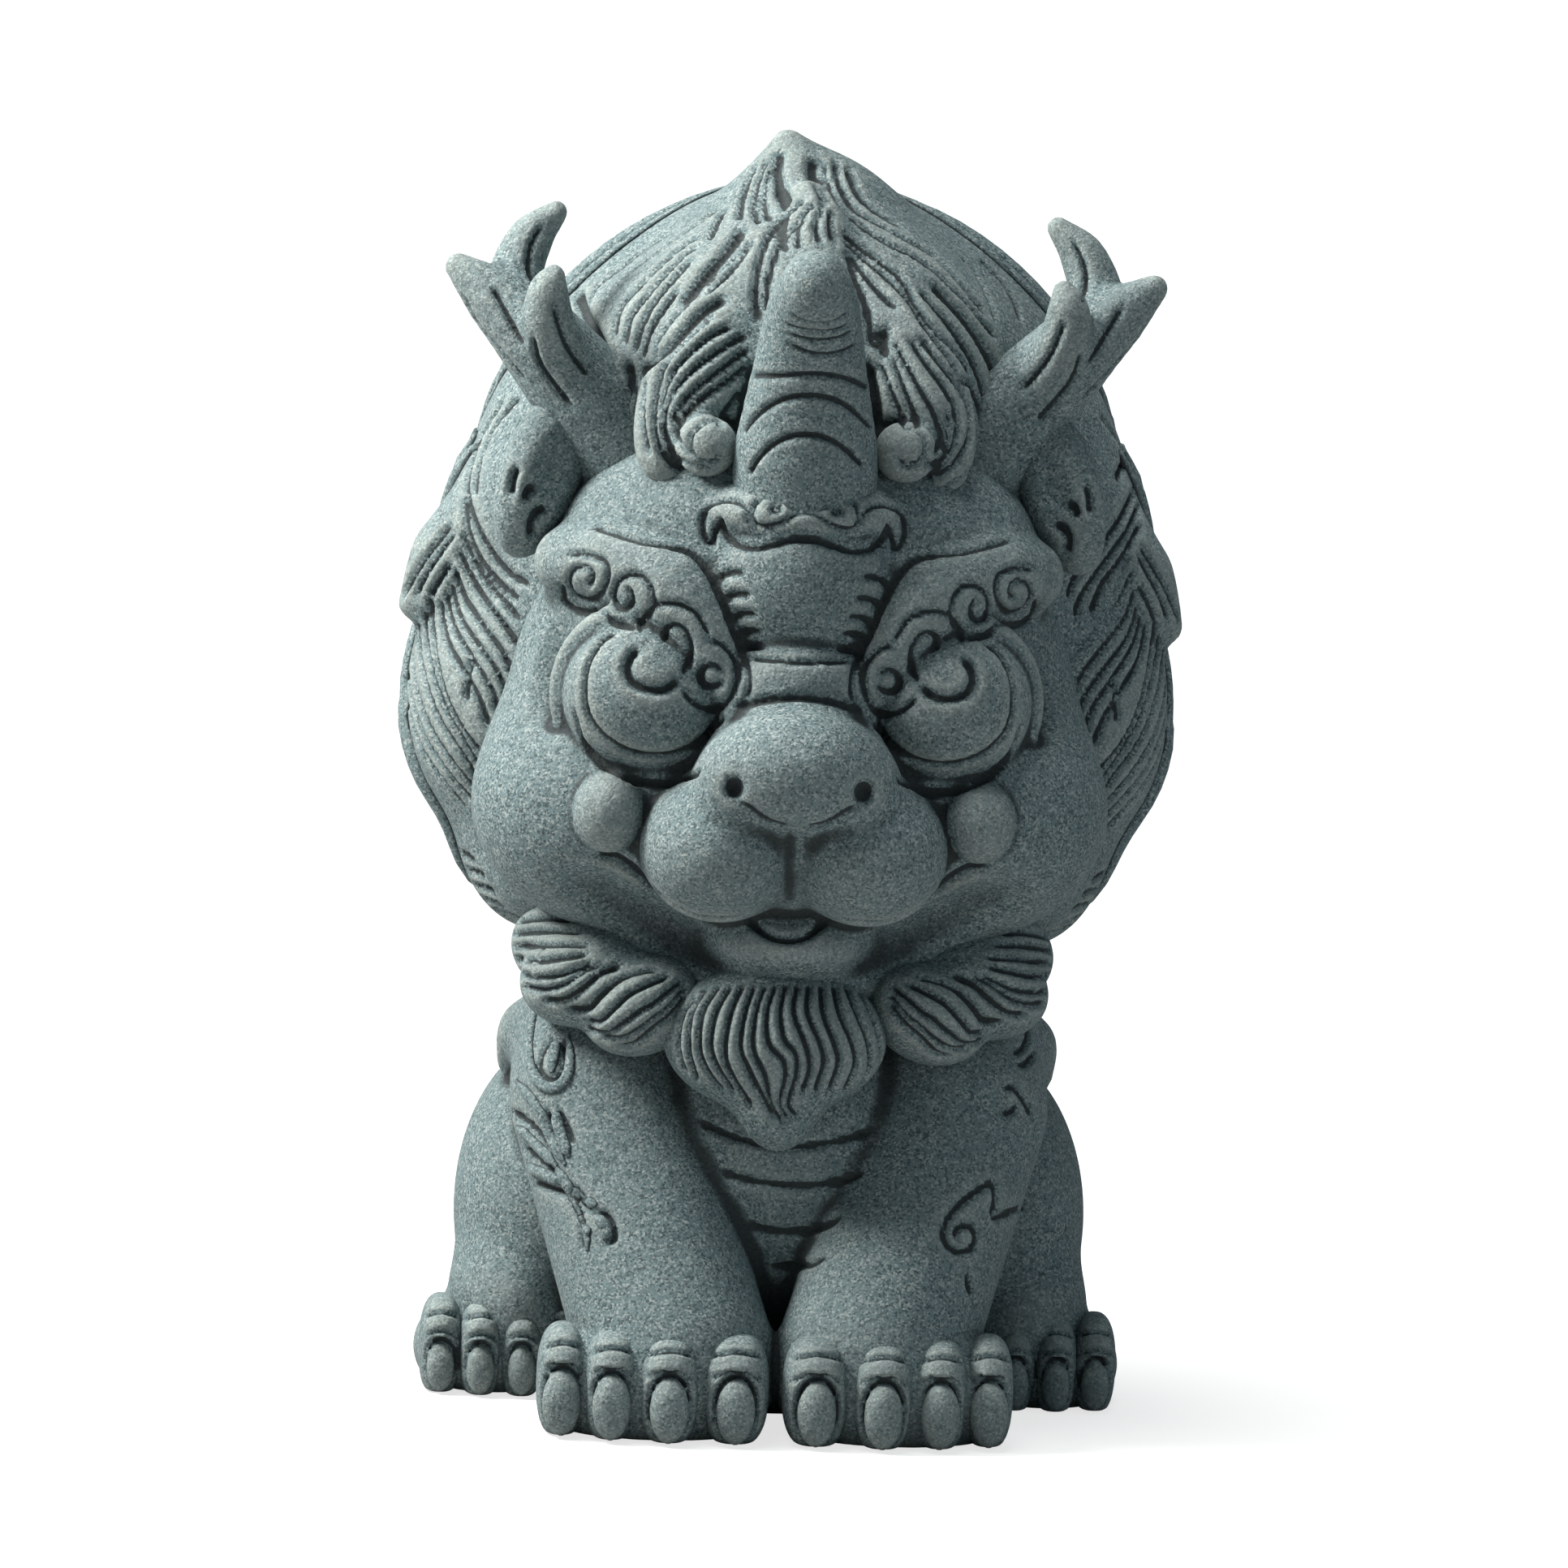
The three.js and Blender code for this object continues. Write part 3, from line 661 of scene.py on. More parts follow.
def mirrored_lines(surface, sheet, lines):
    """Lines of a sheet on the stone, and their mirror images."""
    made = lines_on(surface, sheet, lines)
    return made + [flipped(line) for line in made]


def face_lines():
    surface = surface_of(face)

    def pairs(sheet, lines):
        return mirrored_lines(surface, sheet, lines)

    cuts = [
        (pairs(LEFT_SHEET, EYE_LINES + [circle(EYE_RING)]), EYE_GROOVE),
        (pairs(LEFT_SHEET, LID_LINES) + pairs(FACE_LEFT, [RIM_LINE]), LID_GROOVE),
        (pairs(LEFT_SHEET, [PUPIL_LINE]), PUPIL_GROOVE),
        (pairs(LEFT_SHEET, BALL_NOTCHES + BRIDGE_LINES), NOTCH_GROOVE),
        (pairs(RIGHT_SHEET, CREST_LINES + [circle(CREST_EYE)]), CREST_GROOVE),
        (pairs(MOUTH_SHEET, LIP_LINES), LIP_GROOVE),
        (pairs(MOUTH_SHEET, NOSE_LINES), NOSE_GROOVE),
        (lines_on(surface, MOUTH_SHEET, [PHILTRUM]), PHILTRUM_GROOVE),
        (lines_on(surface, MOUTH_SHEET, [MOUTH_LINE]), MOUTH_GROOVE),
    ]
    for lines, groove in cuts:
        carve(face, lines, groove)
    print("face lines:", sum(len(lines) for lines, groove in cuts))


face_lines()

# %% [markdown]
# ### Lines in the hair
#
# Seen from the front the hair is cut like the face: strands run up the crown, hang beside the ears and roll
# into a curl over each brow. Edges where one lock lies over another are cut wider and deeper than the lines
# between strands. Where strands lie side by side, as beside the cheeks, only a few guide lines are read and
# the lines between them are found by blending.

# %% Hair lines
TOP_LEFT = Sheet((480, 140), 2.5)
TOP_RIGHT = Sheet((960, 140), 2.5)
LOCK_EDGES_LEFT = [
    [(1040, 560), (960, 610), (880, 690), (810, 760), (770, 805)],
    [(890, 590), (950, 520), (1010, 450), (1060, 390), (1085, 350)],
    [(725, 760), (735, 820), (715, 900), (720, 980), (710, 1050), (690, 1110)],
    [(1225, 290), (1200, 230), (1190, 170), (1200, 110)],
    [(575, 550), (600, 620), (640, 700), (660, 760)],
    [(1130, 770), (1110, 840), (1095, 920), (1090, 990)],
]
STRANDS_LEFT = [
    [(600, 600), (640, 530), (720, 470), (800, 410), (860, 370)],
    [(640, 640), (670, 560), (740, 490), (820, 430), (900, 370), (960, 330), (1010, 290)],
    [(690, 690), (705, 610), (765, 535), (835, 465), (905, 405), (960, 375)],
    [(720, 720), (740, 630), (790, 560), (850, 490), (910, 430), (950, 405)],
    [(750, 740), (775, 650), (820, 570), (880, 500), (930, 440)],
    [(775, 760), (800, 670), (850, 590), (890, 535)],
    [(800, 770), (830, 690), (880, 620), (940, 555), (1000, 490), (1060, 430), (1110, 380)],
    [(960, 560), (1030, 500), (1080, 440), (1120, 380)],
    [(980, 390), (1000, 350), (1020, 310), (1040, 290)],
    [(1075, 330), (1085, 260), (1105, 200), (1130, 150)],
    [(1140, 340), (1120, 290), (1125, 230), (1145, 170), (1170, 130)],
    [(1170, 330), (1150, 270), (1160, 200), (1190, 140)],
    [(1000, 610), (920, 680), (850, 760), (820, 850), (812, 950), (825, 1020), (860, 1075), (920, 1115)],
    [(1060, 650), (980, 690), (890, 770), (845, 850), (832, 930)],
    [(1100, 680), (1000, 740), (910, 810), (855, 890), (845, 970), (870, 1045), (930, 1090), (1000, 1100)],
    [(1110, 720), (1020, 790), (940, 850), (885, 910), (865, 960)],
    [(1115, 770), (1050, 820), (980, 865), (905, 930), (885, 1000), (920, 1050), (960, 1060)],
    [(1090, 850), (1045, 910), (1010, 965)],
    [(680, 750), (668, 850), (675, 950), (690, 1030), (680, 1100), (650, 1150)],
    [(755, 830), (745, 920), (745, 1000), (740, 1060)],
    [(785, 810), (775, 900), (780, 990), (800, 1060)],
    [(540, 980), (600, 1020), (640, 1070), (640, 1130)],
    [(590, 960), (640, 1000), (665, 1050), (655, 1110)],
    [(500, 990), (560, 1030), (610, 1090), (620, 1150)],
    [(1135, 640), (1128, 540), (1145, 430), (1190, 340), (1260, 280)],
    [(1170, 620), (1162, 540), (1185, 440), (1230, 360), (1290, 310)],
    [(1205, 420), (1198, 350), (1230, 300), (1280, 265)],
    [(400, 870), (330, 950), (290, 1030), (265, 1110), (260, 1180)],
    [(350, 880), (290, 980), (250, 1080), (235, 1160), (260, 1260), (310, 1350), (370, 1420), (430, 1450)],
    [(225, 1180), (240, 1290), (280, 1380), (340, 1450), (400, 1500)],
]
LOCK_EDGES_RIGHT = [
    [(330, 760), (318, 700), (330, 650)],
    [(470, 520), (530, 580), (590, 650), (640, 730), (670, 800), (680, 880), (685, 950), (680, 1000)],
    [(880, 870), (790, 900), (710, 950), (670, 1020), (655, 1110)],
    [(390, 1215), (470, 1200), (560, 1180), (620, 1140)],
    [(110, 130), (105, 180), (130, 230), (150, 270)],
    [(270, 760), (285, 840), (295, 920), (290, 1000)],
]
STRANDS_RIGHT = [
    [(140, 140), (150, 210), (190, 290), (260, 350), (340, 400), (420, 440), (500, 500), (570, 570),
     (630, 640), (670, 690)],
    [(175, 140), (185, 210), (230, 290), (310, 340), (400, 390), (480, 440), (540, 500), (590, 560),
     (640, 620)],
    [(210, 160), (245, 250), (310, 310), (380, 350)],
    [(190, 360), (240, 400), (310, 450), (380, 510), (430, 590), (480, 660), (540, 730), (590, 800)],
    [(200, 390), (260, 440), (330, 500), (400, 570), (450, 650), (510, 730), (560, 810), (590, 890),
     (600, 960)],
    [(215, 420), (270, 500), (330, 570), (370, 600)],
    [(430, 540), (490, 610), (550, 690), (600, 770), (630, 850), (645, 940)],
    [(560, 440), (610, 500), (650, 580), (670, 640)],
    [(620, 450), (690, 520), (730, 590), (745, 640)],
    [(210, 420), (230, 490), (260, 570), (280, 650), (290, 730)],
    [(340, 690), (385, 760), (435, 850), (480, 930), (500, 1000), (480, 1045)],
    [(330, 720), (365, 800), (400, 890), (435, 975)],
    [(400, 690), (455, 770), (515, 850), (550, 930), (545, 1010), (500, 1070), (440, 1090)],
    [(305, 760), (335, 840), (370, 920), (400, 980)],
    [(430, 680), (500, 770), (560, 850), (590, 930), (585, 1010), (540, 1080), (470, 1130)],
    [(560, 800), (610, 880), (630, 960), (620, 1050), (570, 1120), (500, 1165)],
    [(440, 1000), (462, 1040), (430, 1078), (385, 1078)],
    [(20, 430), (10, 360), (30, 300), (80, 255)],
    [(60, 420), (52, 360), (75, 300), (120, 270)],
    [(125, 405), (112, 340), (135, 280), (140, 220)],
    [(170, 400), (160, 340), (165, 290)],
    [(850, 910), (800, 980), (770, 1050), (720, 1110), (690, 1140)],
    [(790, 960), (745, 1020), (705, 1090)],
    [(990, 930), (1040, 1000), (1060, 1070), (1040, 1130)],
    [(1110, 1130), (1060, 1240), (990, 1340), (920, 1420), (890, 1500)],
    [(1120, 1180), (1080, 1280), (1010, 1380), (940, 1480), (910, 1550)],
    [(1120, 1260), (1060, 1370), (1000, 1450), (960, 1540)],
]
LOW_LEFT = Sheet((480, 1000), 3.015)
PATH_PLACES = 22
LOCK_EDGE_GROOVE = Groove(8.5, 4.0)
STRAND_GROOVE = Groove(4.8, 3.0)
MANE_BUNDLES = [
    (LEFT_SHEET, 2, [
        [(215, 450), (150, 530), (80, 630), (20, 740)],
        [(225, 480), (170, 560), (110, 650), (70, 740)],
        [(215, 600), (165, 670), (130, 740), (125, 830)],
    ]),
    (LEFT_SHEET, 5, [
        [(245, 480), (280, 570), (340, 670), (410, 750), (475, 830)],
        [(225, 560), (280, 670), (350, 780), (420, 870), (470, 960)],
        [(210, 650), (250, 790), (320, 890), (390, 980), (435, 1070), (450, 1140)],
        [(190, 700), (220, 830), (290, 950), (350, 1040), (390, 1110), (405, 1190)],
        [(165, 740), (190, 900), (260, 1030), (320, 1140), (360, 1250)],
    ]),
    (LEFT_SHEET, 5, [
        [(130, 740), (140, 880), (155, 1000), (190, 1130), (250, 1250), (335, 1360)],
        [(90, 820), (105, 980), (140, 1120), (190, 1230), (260, 1340), (320, 1450)],
        [(50, 900), (60, 1080), (110, 1240), (180, 1360), (250, 1450), (310, 1510)],
        [(30, 1000), (50, 1180), (100, 1330), (180, 1450), (270, 1560)],
    ]),
    (LOW_LEFT, 6, [
        [(150, 60), (230, 130), (320, 190)],
        [(200, 190), (280, 240), (370, 270)],
        [(270, 280), (340, 320), (430, 360)],
        [(340, 370), (410, 410), (480, 430)],
        [(400, 440), (460, 460), (520, 480)],
    ]),
    (LOW_LEFT, 4, [
        [(340, 350), (430, 380), (520, 410)],
        [(385, 430), (475, 460), (565, 475)],
        [(430, 505), (520, 525), (610, 520)],
        [(475, 570), (565, 585), (655, 560)],
    ]),
]
CURL_SHEET = Sheet((480, 120), 1.0)
CURL_LINES = [
    [(335, 380), (345, 435), (375, 470), (415, 468), (440, 440), (432, 408), (400, 395), (372, 412),
     (372, 440), (395, 452), (412, 438)],
    [(690, 380), (685, 440), (655, 478), (615, 472), (592, 442), (600, 412), (630, 400), (658, 416),
     (660, 442), (640, 456), (622, 442)],
]


def blended_lines(guides, count):
    """count + 1 lines, spread evenly from the first guide to the last."""
    even = np.array([smooth_path(guide, PATH_PLACES) for guide in guides])
    levels = np.linspace(0, len(guides) - 1, count + 1)
    lower = np.minimum(levels.astype(int), len(guides) - 2)
    share = (levels - lower)[:, None, None]
    return even[lower] * (1 - share) + even[lower + 1] * share


def hair_lines():
    surface = surface_of(mane_front)
    edges = lines_on(surface, TOP_LEFT, LOCK_EDGES_LEFT) + lines_on(surface, TOP_RIGHT, LOCK_EDGES_RIGHT)
    strands = lines_on(surface, TOP_LEFT, STRANDS_LEFT) + lines_on(surface, TOP_RIGHT, STRANDS_RIGHT)
    for sheet, count, guides in MANE_BUNDLES:
        for line in blended_lines([sheet.spots(guide) for guide in guides], count):
            cut = on_stone(surface, line)
            strands += [cut, flipped(cut)]
    strands += lines_on(surface, CURL_SHEET, CURL_LINES)
    carve(mane_front, edges, LOCK_EDGE_GROOVE)
    carve(mane_front, strands, STRAND_GROOVE)
    print("hair lines:", len(edges) + len(strands))


hair_lines()

# %% [markdown]
# ### Beard and fringe
#
# A pointed beard hangs under the jaw, and a fringe of three locks curls away from it on each side. Their
# strands are finer than the mane's mesh can hold, so both are skinned on their own with a smaller step. Each
# groove between two strands is read line by line, and those of the fringe are mirrored.

# %% Beard and fringe
FLANK_LEFT = Sheet((520, 1180), 3.0)
FRINGE_LOCKS = (
    both(egg, (80, -40, 178), (22, 38, 20), turn=(0, 0, -24))
    + both(egg, (76, -62, 171), (26, 28, 20), turn=(0, 16, -34))
    + both(egg, (55, -78, 162), (24, 25, 19), turn=(0, 24, -20))
)
FRINGE_GROOVES = [
    [(318, -130), (400, -145), (480, -150), (560, -140)],
    [(314, -85), (400, -98), (500, -102), (590, -95)],
    [(318, -40), (420, -48), (520, -52), (620, -50)],
    [(328, 5), (430, 8), (530, -5), (620, -20)],
    [(345, 55), (420, 72), (500, 65), (570, 38), (640, 10)],
    [(370, 108), (440, 120), (520, 100), (590, 55), (670, 15)],
    [(440, 160), (520, 160), (590, 115), (660, 55), (740, 25)],
    [(530, 195), (605, 190), (655, 140), (725, 80), (800, 50), (880, 40)],
    [(595, 235), (650, 235), (705, 185), (765, 130), (845, 90), (920, 60)],
    [(600, 262), (670, 285), (740, 245), (800, 200), (860, 165), (920, 115), (975, 75)],
    [(650, 300), (735, 305), (800, 272), (860, 225), (920, 180), (985, 100)],
    [(720, 335), (790, 322), (855, 270), (925, 215), (990, 135)],
]
GOATEE = egg((-4, -88, 152), (43, 32, 29))
GOATEE_TIP = egg((-2, -99, 131), (16, 15, 21))
BEARD_SHEET = Sheet((780, 1040), 2.143)
BEARD_GROOVES = [
    [(165, 395), (128, 455), (118, 540), (140, 610)],
    [(195, 375), (152, 445), (144, 540), (168, 630)],
    [(228, 368), (182, 440), (172, 540), (200, 610), (240, 655)],
    [(260, 365), (218, 440), (202, 530), (222, 595), (268, 665)],
    [(292, 362), (258, 440), (240, 550), (262, 620), (315, 700)],
    [(322, 360), (296, 440), (282, 535), (305, 600), (345, 680), (372, 730)],
    [(350, 360), (325, 440), (316, 540), (345, 610), (364, 690), (398, 745)],
    [(378, 360), (354, 440), (358, 525), (398, 575), (402, 625), (388, 690), (420, 740)],
    [(405, 360), (390, 440), (400, 515), (432, 560), (432, 615), (412, 690), (440, 725)],
    [(435, 360), (426, 440), (458, 535), (468, 600), (445, 665)],
    [(465, 360), (462, 440), (494, 520), (506, 580), (482, 660)],
    [(497, 362), (505, 445), (534, 525), (545, 580), (520, 655)],
    [(530, 365), (548, 445), (580, 520), (590, 580), (560, 655)],
    [(562, 370), (590, 440), (622, 520), (626, 590), (596, 645)],
    [(595, 385), (625, 440), (650, 510), (655, 570), (632, 625)],
]
FRINGE_GROOVE = Groove(5.2, 3.2)
BEARD_GROOVE = Groove(4.4, 2.8)
BEARD_FORMS = [((GOATEE,), 4), ((GOATEE_TIP,), 10)]
BEARD_GRID = ((-60, -135, 100), (60, -40, 190), 1.2)
FRINGE_GRID = ((-120, -115, 135), (120, 10, 205), 1.4)


def beard_stone():
    field = Field(*BEARD_GRID)
    field.add_all(BEARD_FORMS)
    made = skin(field, "beard")
    carve(made, lines_on(surface_of(made), BEARD_SHEET, BEARD_GROOVES), BEARD_GROOVE)
    return made


def fringe_stone():
    field = Field(*FRINGE_GRID)
    field.add_all([(FRINGE_LOCKS, 6)])
    made = skin(field, "fringe")
    carve(made, mirrored_lines(surface_of(made), FLANK_LEFT, FRINGE_GROOVES), FRINGE_GROOVE)
    return made


beard = beard_stone()
fringe = fringe_stone()

# %% [markdown]
# ## Horn, antlers, ears
#
# These stand out from the head as stones of their own. A bevelled curve could make each branch, but where two
# branches meet its tubes would only cross. Tapering limbs in a field grow together there, as carved ones do.

# %% Horn and antlers
HORN_PATH = [(0, -86, 355), (0, -93, 379), (0, -102, 409), (0, -118, 434), (0, -137, 447)]
HORN_RADII = [28.5, 27.5, 22, 18, 13.5]
ANTLER_ROOT = np.array([80, -40, 389])
ANTLER_BRANCHES = [
    ([(-12, 2, -16), (2, 0, 2), (21, -3, 24), (39, 0, 40), (54, 3, 52)], [21.5, 20.5, 17, 12, 5.5]),
    ([(24, 0, 26), (32, 10, 45), (27, 16, 62), (17, 18, 73)], [12, 11, 9, 4.5]),
    ([(12, -7, 16), (19, -18, 32), (20, -22, 45), (18, -22, 52)], [12, 10.5, 8, 4.5]),
]
HORN_SHEET = Sheet((850, 290), 4.481)
HORN_LINES = [
    [(300, 1075), (340, 1020), (400, 965), (500, 912), (600, 890), (720, 892), (830, 920), (920, 975),
     (1000, 1050)],
    [(330, 1300), (370, 1235), (430, 1175), (500, 1132), (580, 1106), (700, 1106), (800, 1140),
     (880, 1195), (950, 1260)],
    [(350, 775), (480, 782), (620, 772), (760, 776), (900, 802), (985, 835)],
]
TIP_LINES = [
    [(540, 415), (600, 468), (700, 490), (800, 475), (885, 415)],
    [(515, 490), (600, 518), (700, 532), (800, 527), (890, 490)],
    [(525, 540), (620, 572), (720, 582), (830, 567), (910, 525)],
    [(540, 600), (640, 645), (740, 660), (850, 640), (930, 595)],
]
ANTLER_SHEET = Sheet((530, 200), 4.238)
ANTLER_LINES = [
    [(170, 700), (240, 830), (320, 930), (400, 1030), (500, 1150)],
    [(320, 640), (390, 780), (450, 900), (490, 960)],
    [(590, 320), (530, 430), (515, 540), (545, 650)],
    [(530, 900), (560, 1030), (620, 1130), (740, 1280)],
    [(640, 740), (690, 900), (740, 1000), (830, 1120)],
]
HORN_GROOVE = Groove(4.2, 2.4, fade=0)
TIP_GROOVE = Groove(3.4, 1.6)
ANTLER_GROOVE = Groove(4.0, 2.4)
HORN_GRID = ((-32, -155, 325), (32, -50, 468), 1.2)
ANTLER_BOX = ((45, -90, 355), (148, 10, 480))
ANTLER_STEP = 1.5
ANTLER_BLEND = 5


def horn_stone():
    """The horn, with the grooves that part it into segments and the fine ones under its tip."""
    field = Field(*HORN_GRID)
    field.add(limb(HORN_PATH, HORN_RADII))
    made = skin(field, "horn")
    surface = surface_of(made)
    carve(made, lines_on(surface, HORN_SHEET, HORN_LINES), HORN_GROOVE)
    carve(made, lines_on(surface, HORN_SHEET, TIP_LINES), TIP_GROOVE)
    return made


def antler_box(side):
    low, high = ANTLER_BOX
    if side > 0:
        return low, high
    return (-high[0], *low[1:]), (-low[0], *high[1:])


def antler_stone(side, name):
    """A trunk with a tine behind it and one in front."""
    field = Field(*antler_box(side), ANTLER_STEP)
    for path, radii in ANTLER_BRANCHES:
        field.add(limb_on(side, np.array(path) + ANTLER_ROOT, radii), ANTLER_BLEND)
    return skin(field, name)


def antler_lines():
    seen = mirrored_lines(surface_of(antlers[1]), ANTLER_SHEET, ANTLER_LINES)
    half = len(ANTLER_LINES)
    carve(antlers[1], seen[:half], ANTLER_GROOVE)
    carve(antlers[0], seen[half:], ANTLER_GROOVE)


horn = horn_stone()
antlers = [antler_stone(1, "antler_on_left"), antler_stone(-1, "antler_on_right")]
antler_lines()

# %% [markdown]
# ### Ears
#
# An ear is a leaf that leans out of the mane, with a shallow hollow and three short notches in it. It is a
# mesh of its own, because the notches need a finer step than the mane has.

# %% Ears
EARS = both(egg, (100, -47, 363), (17, 13, 34), turn=(-8, -17, -32))
EAR_HOLLOWS = both(egg, (97, -65, 362), (9, 8, 24), turn=(-8, -17, -32))
EAR_NOTCHES = [
    [(465, 235), (447, 280), (440, 345)],
    [(497, 365), (515, 328), (543, 315)],
    [(582, 395), (545, 412), (522, 460), (528, 512)],
]
EAR_GROOVE = Groove(6.5, 3.5, fade=2)
EAR_ROOM = 45
EAR_STEP = 1.2
EAR_BLEND = 4


def ear_stone(index, name):
    centre = EARS[index][1]
    field = Field(centre - EAR_ROOM, centre + EAR_ROOM, EAR_STEP)
    field.add(EARS[index])
    field.cut(EAR_HOLLOWS[index], EAR_BLEND)
    return skin(field, name)


ears = [ear_stone(0, "ear_on_left"), ear_stone(1, "ear_on_right")]
notches = mirrored_lines(surface_of(ears[1]), LEFT_SHEET, EAR_NOTCHES)
carve(ears[1], notches[:len(EAR_NOTCHES)], EAR_GROOVE)
carve(ears[0], notches[len(EAR_NOTCHES):], EAR_GROOVE)

# %% [markdown]
# ## Raised hair
#
# A lock that stands out is a handful of rounded ridges side by side. They could be modelled one by one, but
# they all follow paths, which is work for Geometry Nodes: the script makes bare paths that carry a half width
# and the stone's normal, and the tree sweeps a flattened circle along them. The tree's inputs are the ridge's
# height against its width and the number of sides.

# %% Ridge tree
def ridge_tree():
    tree = bpy.data.node_groups.new("carved_ridges", "GeometryNodeTree")
    sockets = tree.interface
    sockets.new_socket("Paths", in_out="INPUT", socket_type="NodeSocketGeometry")
    sockets.new_socket("Height", in_out="INPUT", socket_type="NodeSocketFloat").default_value = 0.6
    sockets.new_socket("Sides", in_out="INPUT", socket_type="NodeSocketInt").default_value = 10
    sockets.new_socket("Finish", in_out="INPUT", socket_type="NodeSocketMaterial")
    sockets.new_socket("Ridges", in_out="OUTPUT", socket_type="NodeSocketGeometry")

    def node(kind, **settings):
        made = tree.nodes.new(kind)
        for name, value in settings.items():
            setattr(made, name, value)
        return made

    start = node("NodeGroupInput")
    curve = node("GeometryNodeMeshToCurve")
    normal = node("GeometryNodeInputNamedAttribute", data_type="FLOAT_VECTOR")
    normal.inputs["Name"].default_value = "ridge_normal"
    half = node("GeometryNodeInputNamedAttribute", data_type="FLOAT")
    half.inputs["Name"].default_value = "ridge_half"
    upright_curve = node("GeometryNodeSetCurveNormal", mode="FREE")
    round_profile = node("GeometryNodeCurvePrimitiveCircle", mode="RADIUS")
    round_profile.inputs["Radius"].default_value = 1.0
    scale = node("ShaderNodeCombineXYZ")
    scale.inputs["Y"].default_value = 1.0
    scale.inputs["Z"].default_value = 1.0
    flat_profile = node("GeometryNodeTransform")
    sweep = node("GeometryNodeCurveToMesh")
    sweep.inputs["Fill Caps"].default_value = True
    smooth = node("GeometryNodeSetShadeSmooth")
    whole = node("GeometryNodeRealizeInstances")
    finish = node("GeometryNodeSetMaterial")
    end = node("NodeGroupOutput")
    wires = (
        (start, "Paths", curve, "Mesh"),
        (curve, "Curve", upright_curve, "Curve"),
        (normal, "Attribute", upright_curve, "Normal"),
        (start, "Sides", round_profile, "Resolution"),
        (start, "Height", scale, "X"),
        (round_profile, "Curve", flat_profile, "Geometry"),
        (scale, "Vector", flat_profile, "Scale"),
        (upright_curve, "Curve", sweep, "Curve"),
        (flat_profile, "Geometry", sweep, "Profile Curve"),
        (half, "Attribute", sweep, "Scale"),
        (sweep, "Mesh", smooth, "Geometry"),
        (smooth, "Geometry", whole, "Geometry"),
        (whole, "Geometry", finish, "Geometry"),
        (start, "Finish", finish, "Material"),
        (finish, "Geometry", end, "Ridges"),
    )
    for source, output, target, entry in wires:
        tree.links.new(source.outputs[output], target.inputs[entry])
    return tree


RIDGE_TREE = ridge_tree()
print("ridge tree:", len(RIDGE_TREE.nodes), "nodes")


def swept(name, paths, height, sides=10):
    """A mesh of ridges: each path is (places, normals, half widths) in mm."""
    mesh = bpy.data.meshes.new(name)
    places = np.vstack([path[0] for path in paths])
    edges = []
    first = 0
    for path in paths:
        count = len(path[0])
        edges += [(first + k, first + k + 1) for k in range(count - 1)]
        first += count
    mesh.from_pydata((places * MM).tolist(), edges, [])
    half = mesh.attributes.new("ridge_half", "FLOAT", "POINT")
    half.data.foreach_set("value", (np.concatenate([path[2] for path in paths]) * MM).astype(np.float32))
    normal = mesh.attributes.new("ridge_normal", "FLOAT_VECTOR", "POINT")
    normal.data.foreach_set("vector", np.vstack([path[1] for path in paths]).astype(np.float32).ravel())
    piece = linked(name, mesh)
    modifier = piece.modifiers.new("ridges", "NODES")
    modifier.node_group = RIDGE_TREE
    sockets = {item.name: item.identifier for item in RIDGE_TREE.interface.items_tree}
    modifier[sockets["Height"]] = height
    modifier[sockets["Sides"]] = sides
    evaluated_mesh(piece)
    print(name, len(paths), "ridges,", len(piece.data.polygons), "faces")
    return piece


# %% [markdown]
# ### Locks at the back
#
# The photograph doesn't show the back. There the mane is given three tiers of flame-shaped locks, as such
# beasts have. With nothing to trace, a strand is a line of angles round the head, thrown onto the mane from
# outside. Half the room to the next strand is a ridge's half width, its ends narrow, and its path is sunk a
# little so that the ridge grows out of the stone.

# %% Back locks
SUNK = -0.15
ROOT_SHARE = 0.12
TIP_SHARE = 0.18
THINNEST = 0.25
ROUNDING = 0.6


def tapered(half):
    """Half widths that narrow at both ends."""
    run = np.linspace(0, 1, len(half))
    return half * np.clip(np.minimum(run / ROOT_SHARE, (1 - run) / TIP_SHARE), THINNEST, 1) ** ROUNDING


HEAD_CENTRE = np.array([0, 30, 299])
BACK_TIERS = [
    {"locks": 8, "spread": 92, "from": 5, "to": 72, "curl": 9},
    {"locks": 9, "spread": 100, "from": 60, "to": 112, "curl": -9},
    {"locks": 8, "spread": 92, "from": 98, "to": 154, "curl": 9},
]
STRANDS = 5
OUTSIDE = 400
LOCK_BULGE = 2.0
LOCK_WAVE = 4.2
LOCK_OVERLAP = 1.04
LOCK_TAPER = 0.85
TAPER_POWER = 2.2
LOCK_HALVES = (1.2, 6.5)
# how strongly the gaps between ridges are darkened: partly dirt, partly painted shade
ROOT_DIRT_AND_SHADE = 0.9


def lock_strand(surface, azimuths, polars):
    """A line on the mane at angles round the head: azimuth from straight back, polar from the top."""
    hits, normals = [], []
    for azimuth, polar in zip(np.radians(azimuths), np.radians(polars)):
        level = math.sin(polar)
        out = np.array([math.sin(azimuth) * level, math.cos(azimuth) * level, math.cos(polar)])
        start = HEAD_CENTRE + out * OUTSIDE
        place, normal = surface.ray_cast(start.tolist(), (-out).tolist())[:2]
        hits.append(place)
        normals.append(normal)
    return np.array(hits), np.array(normals)


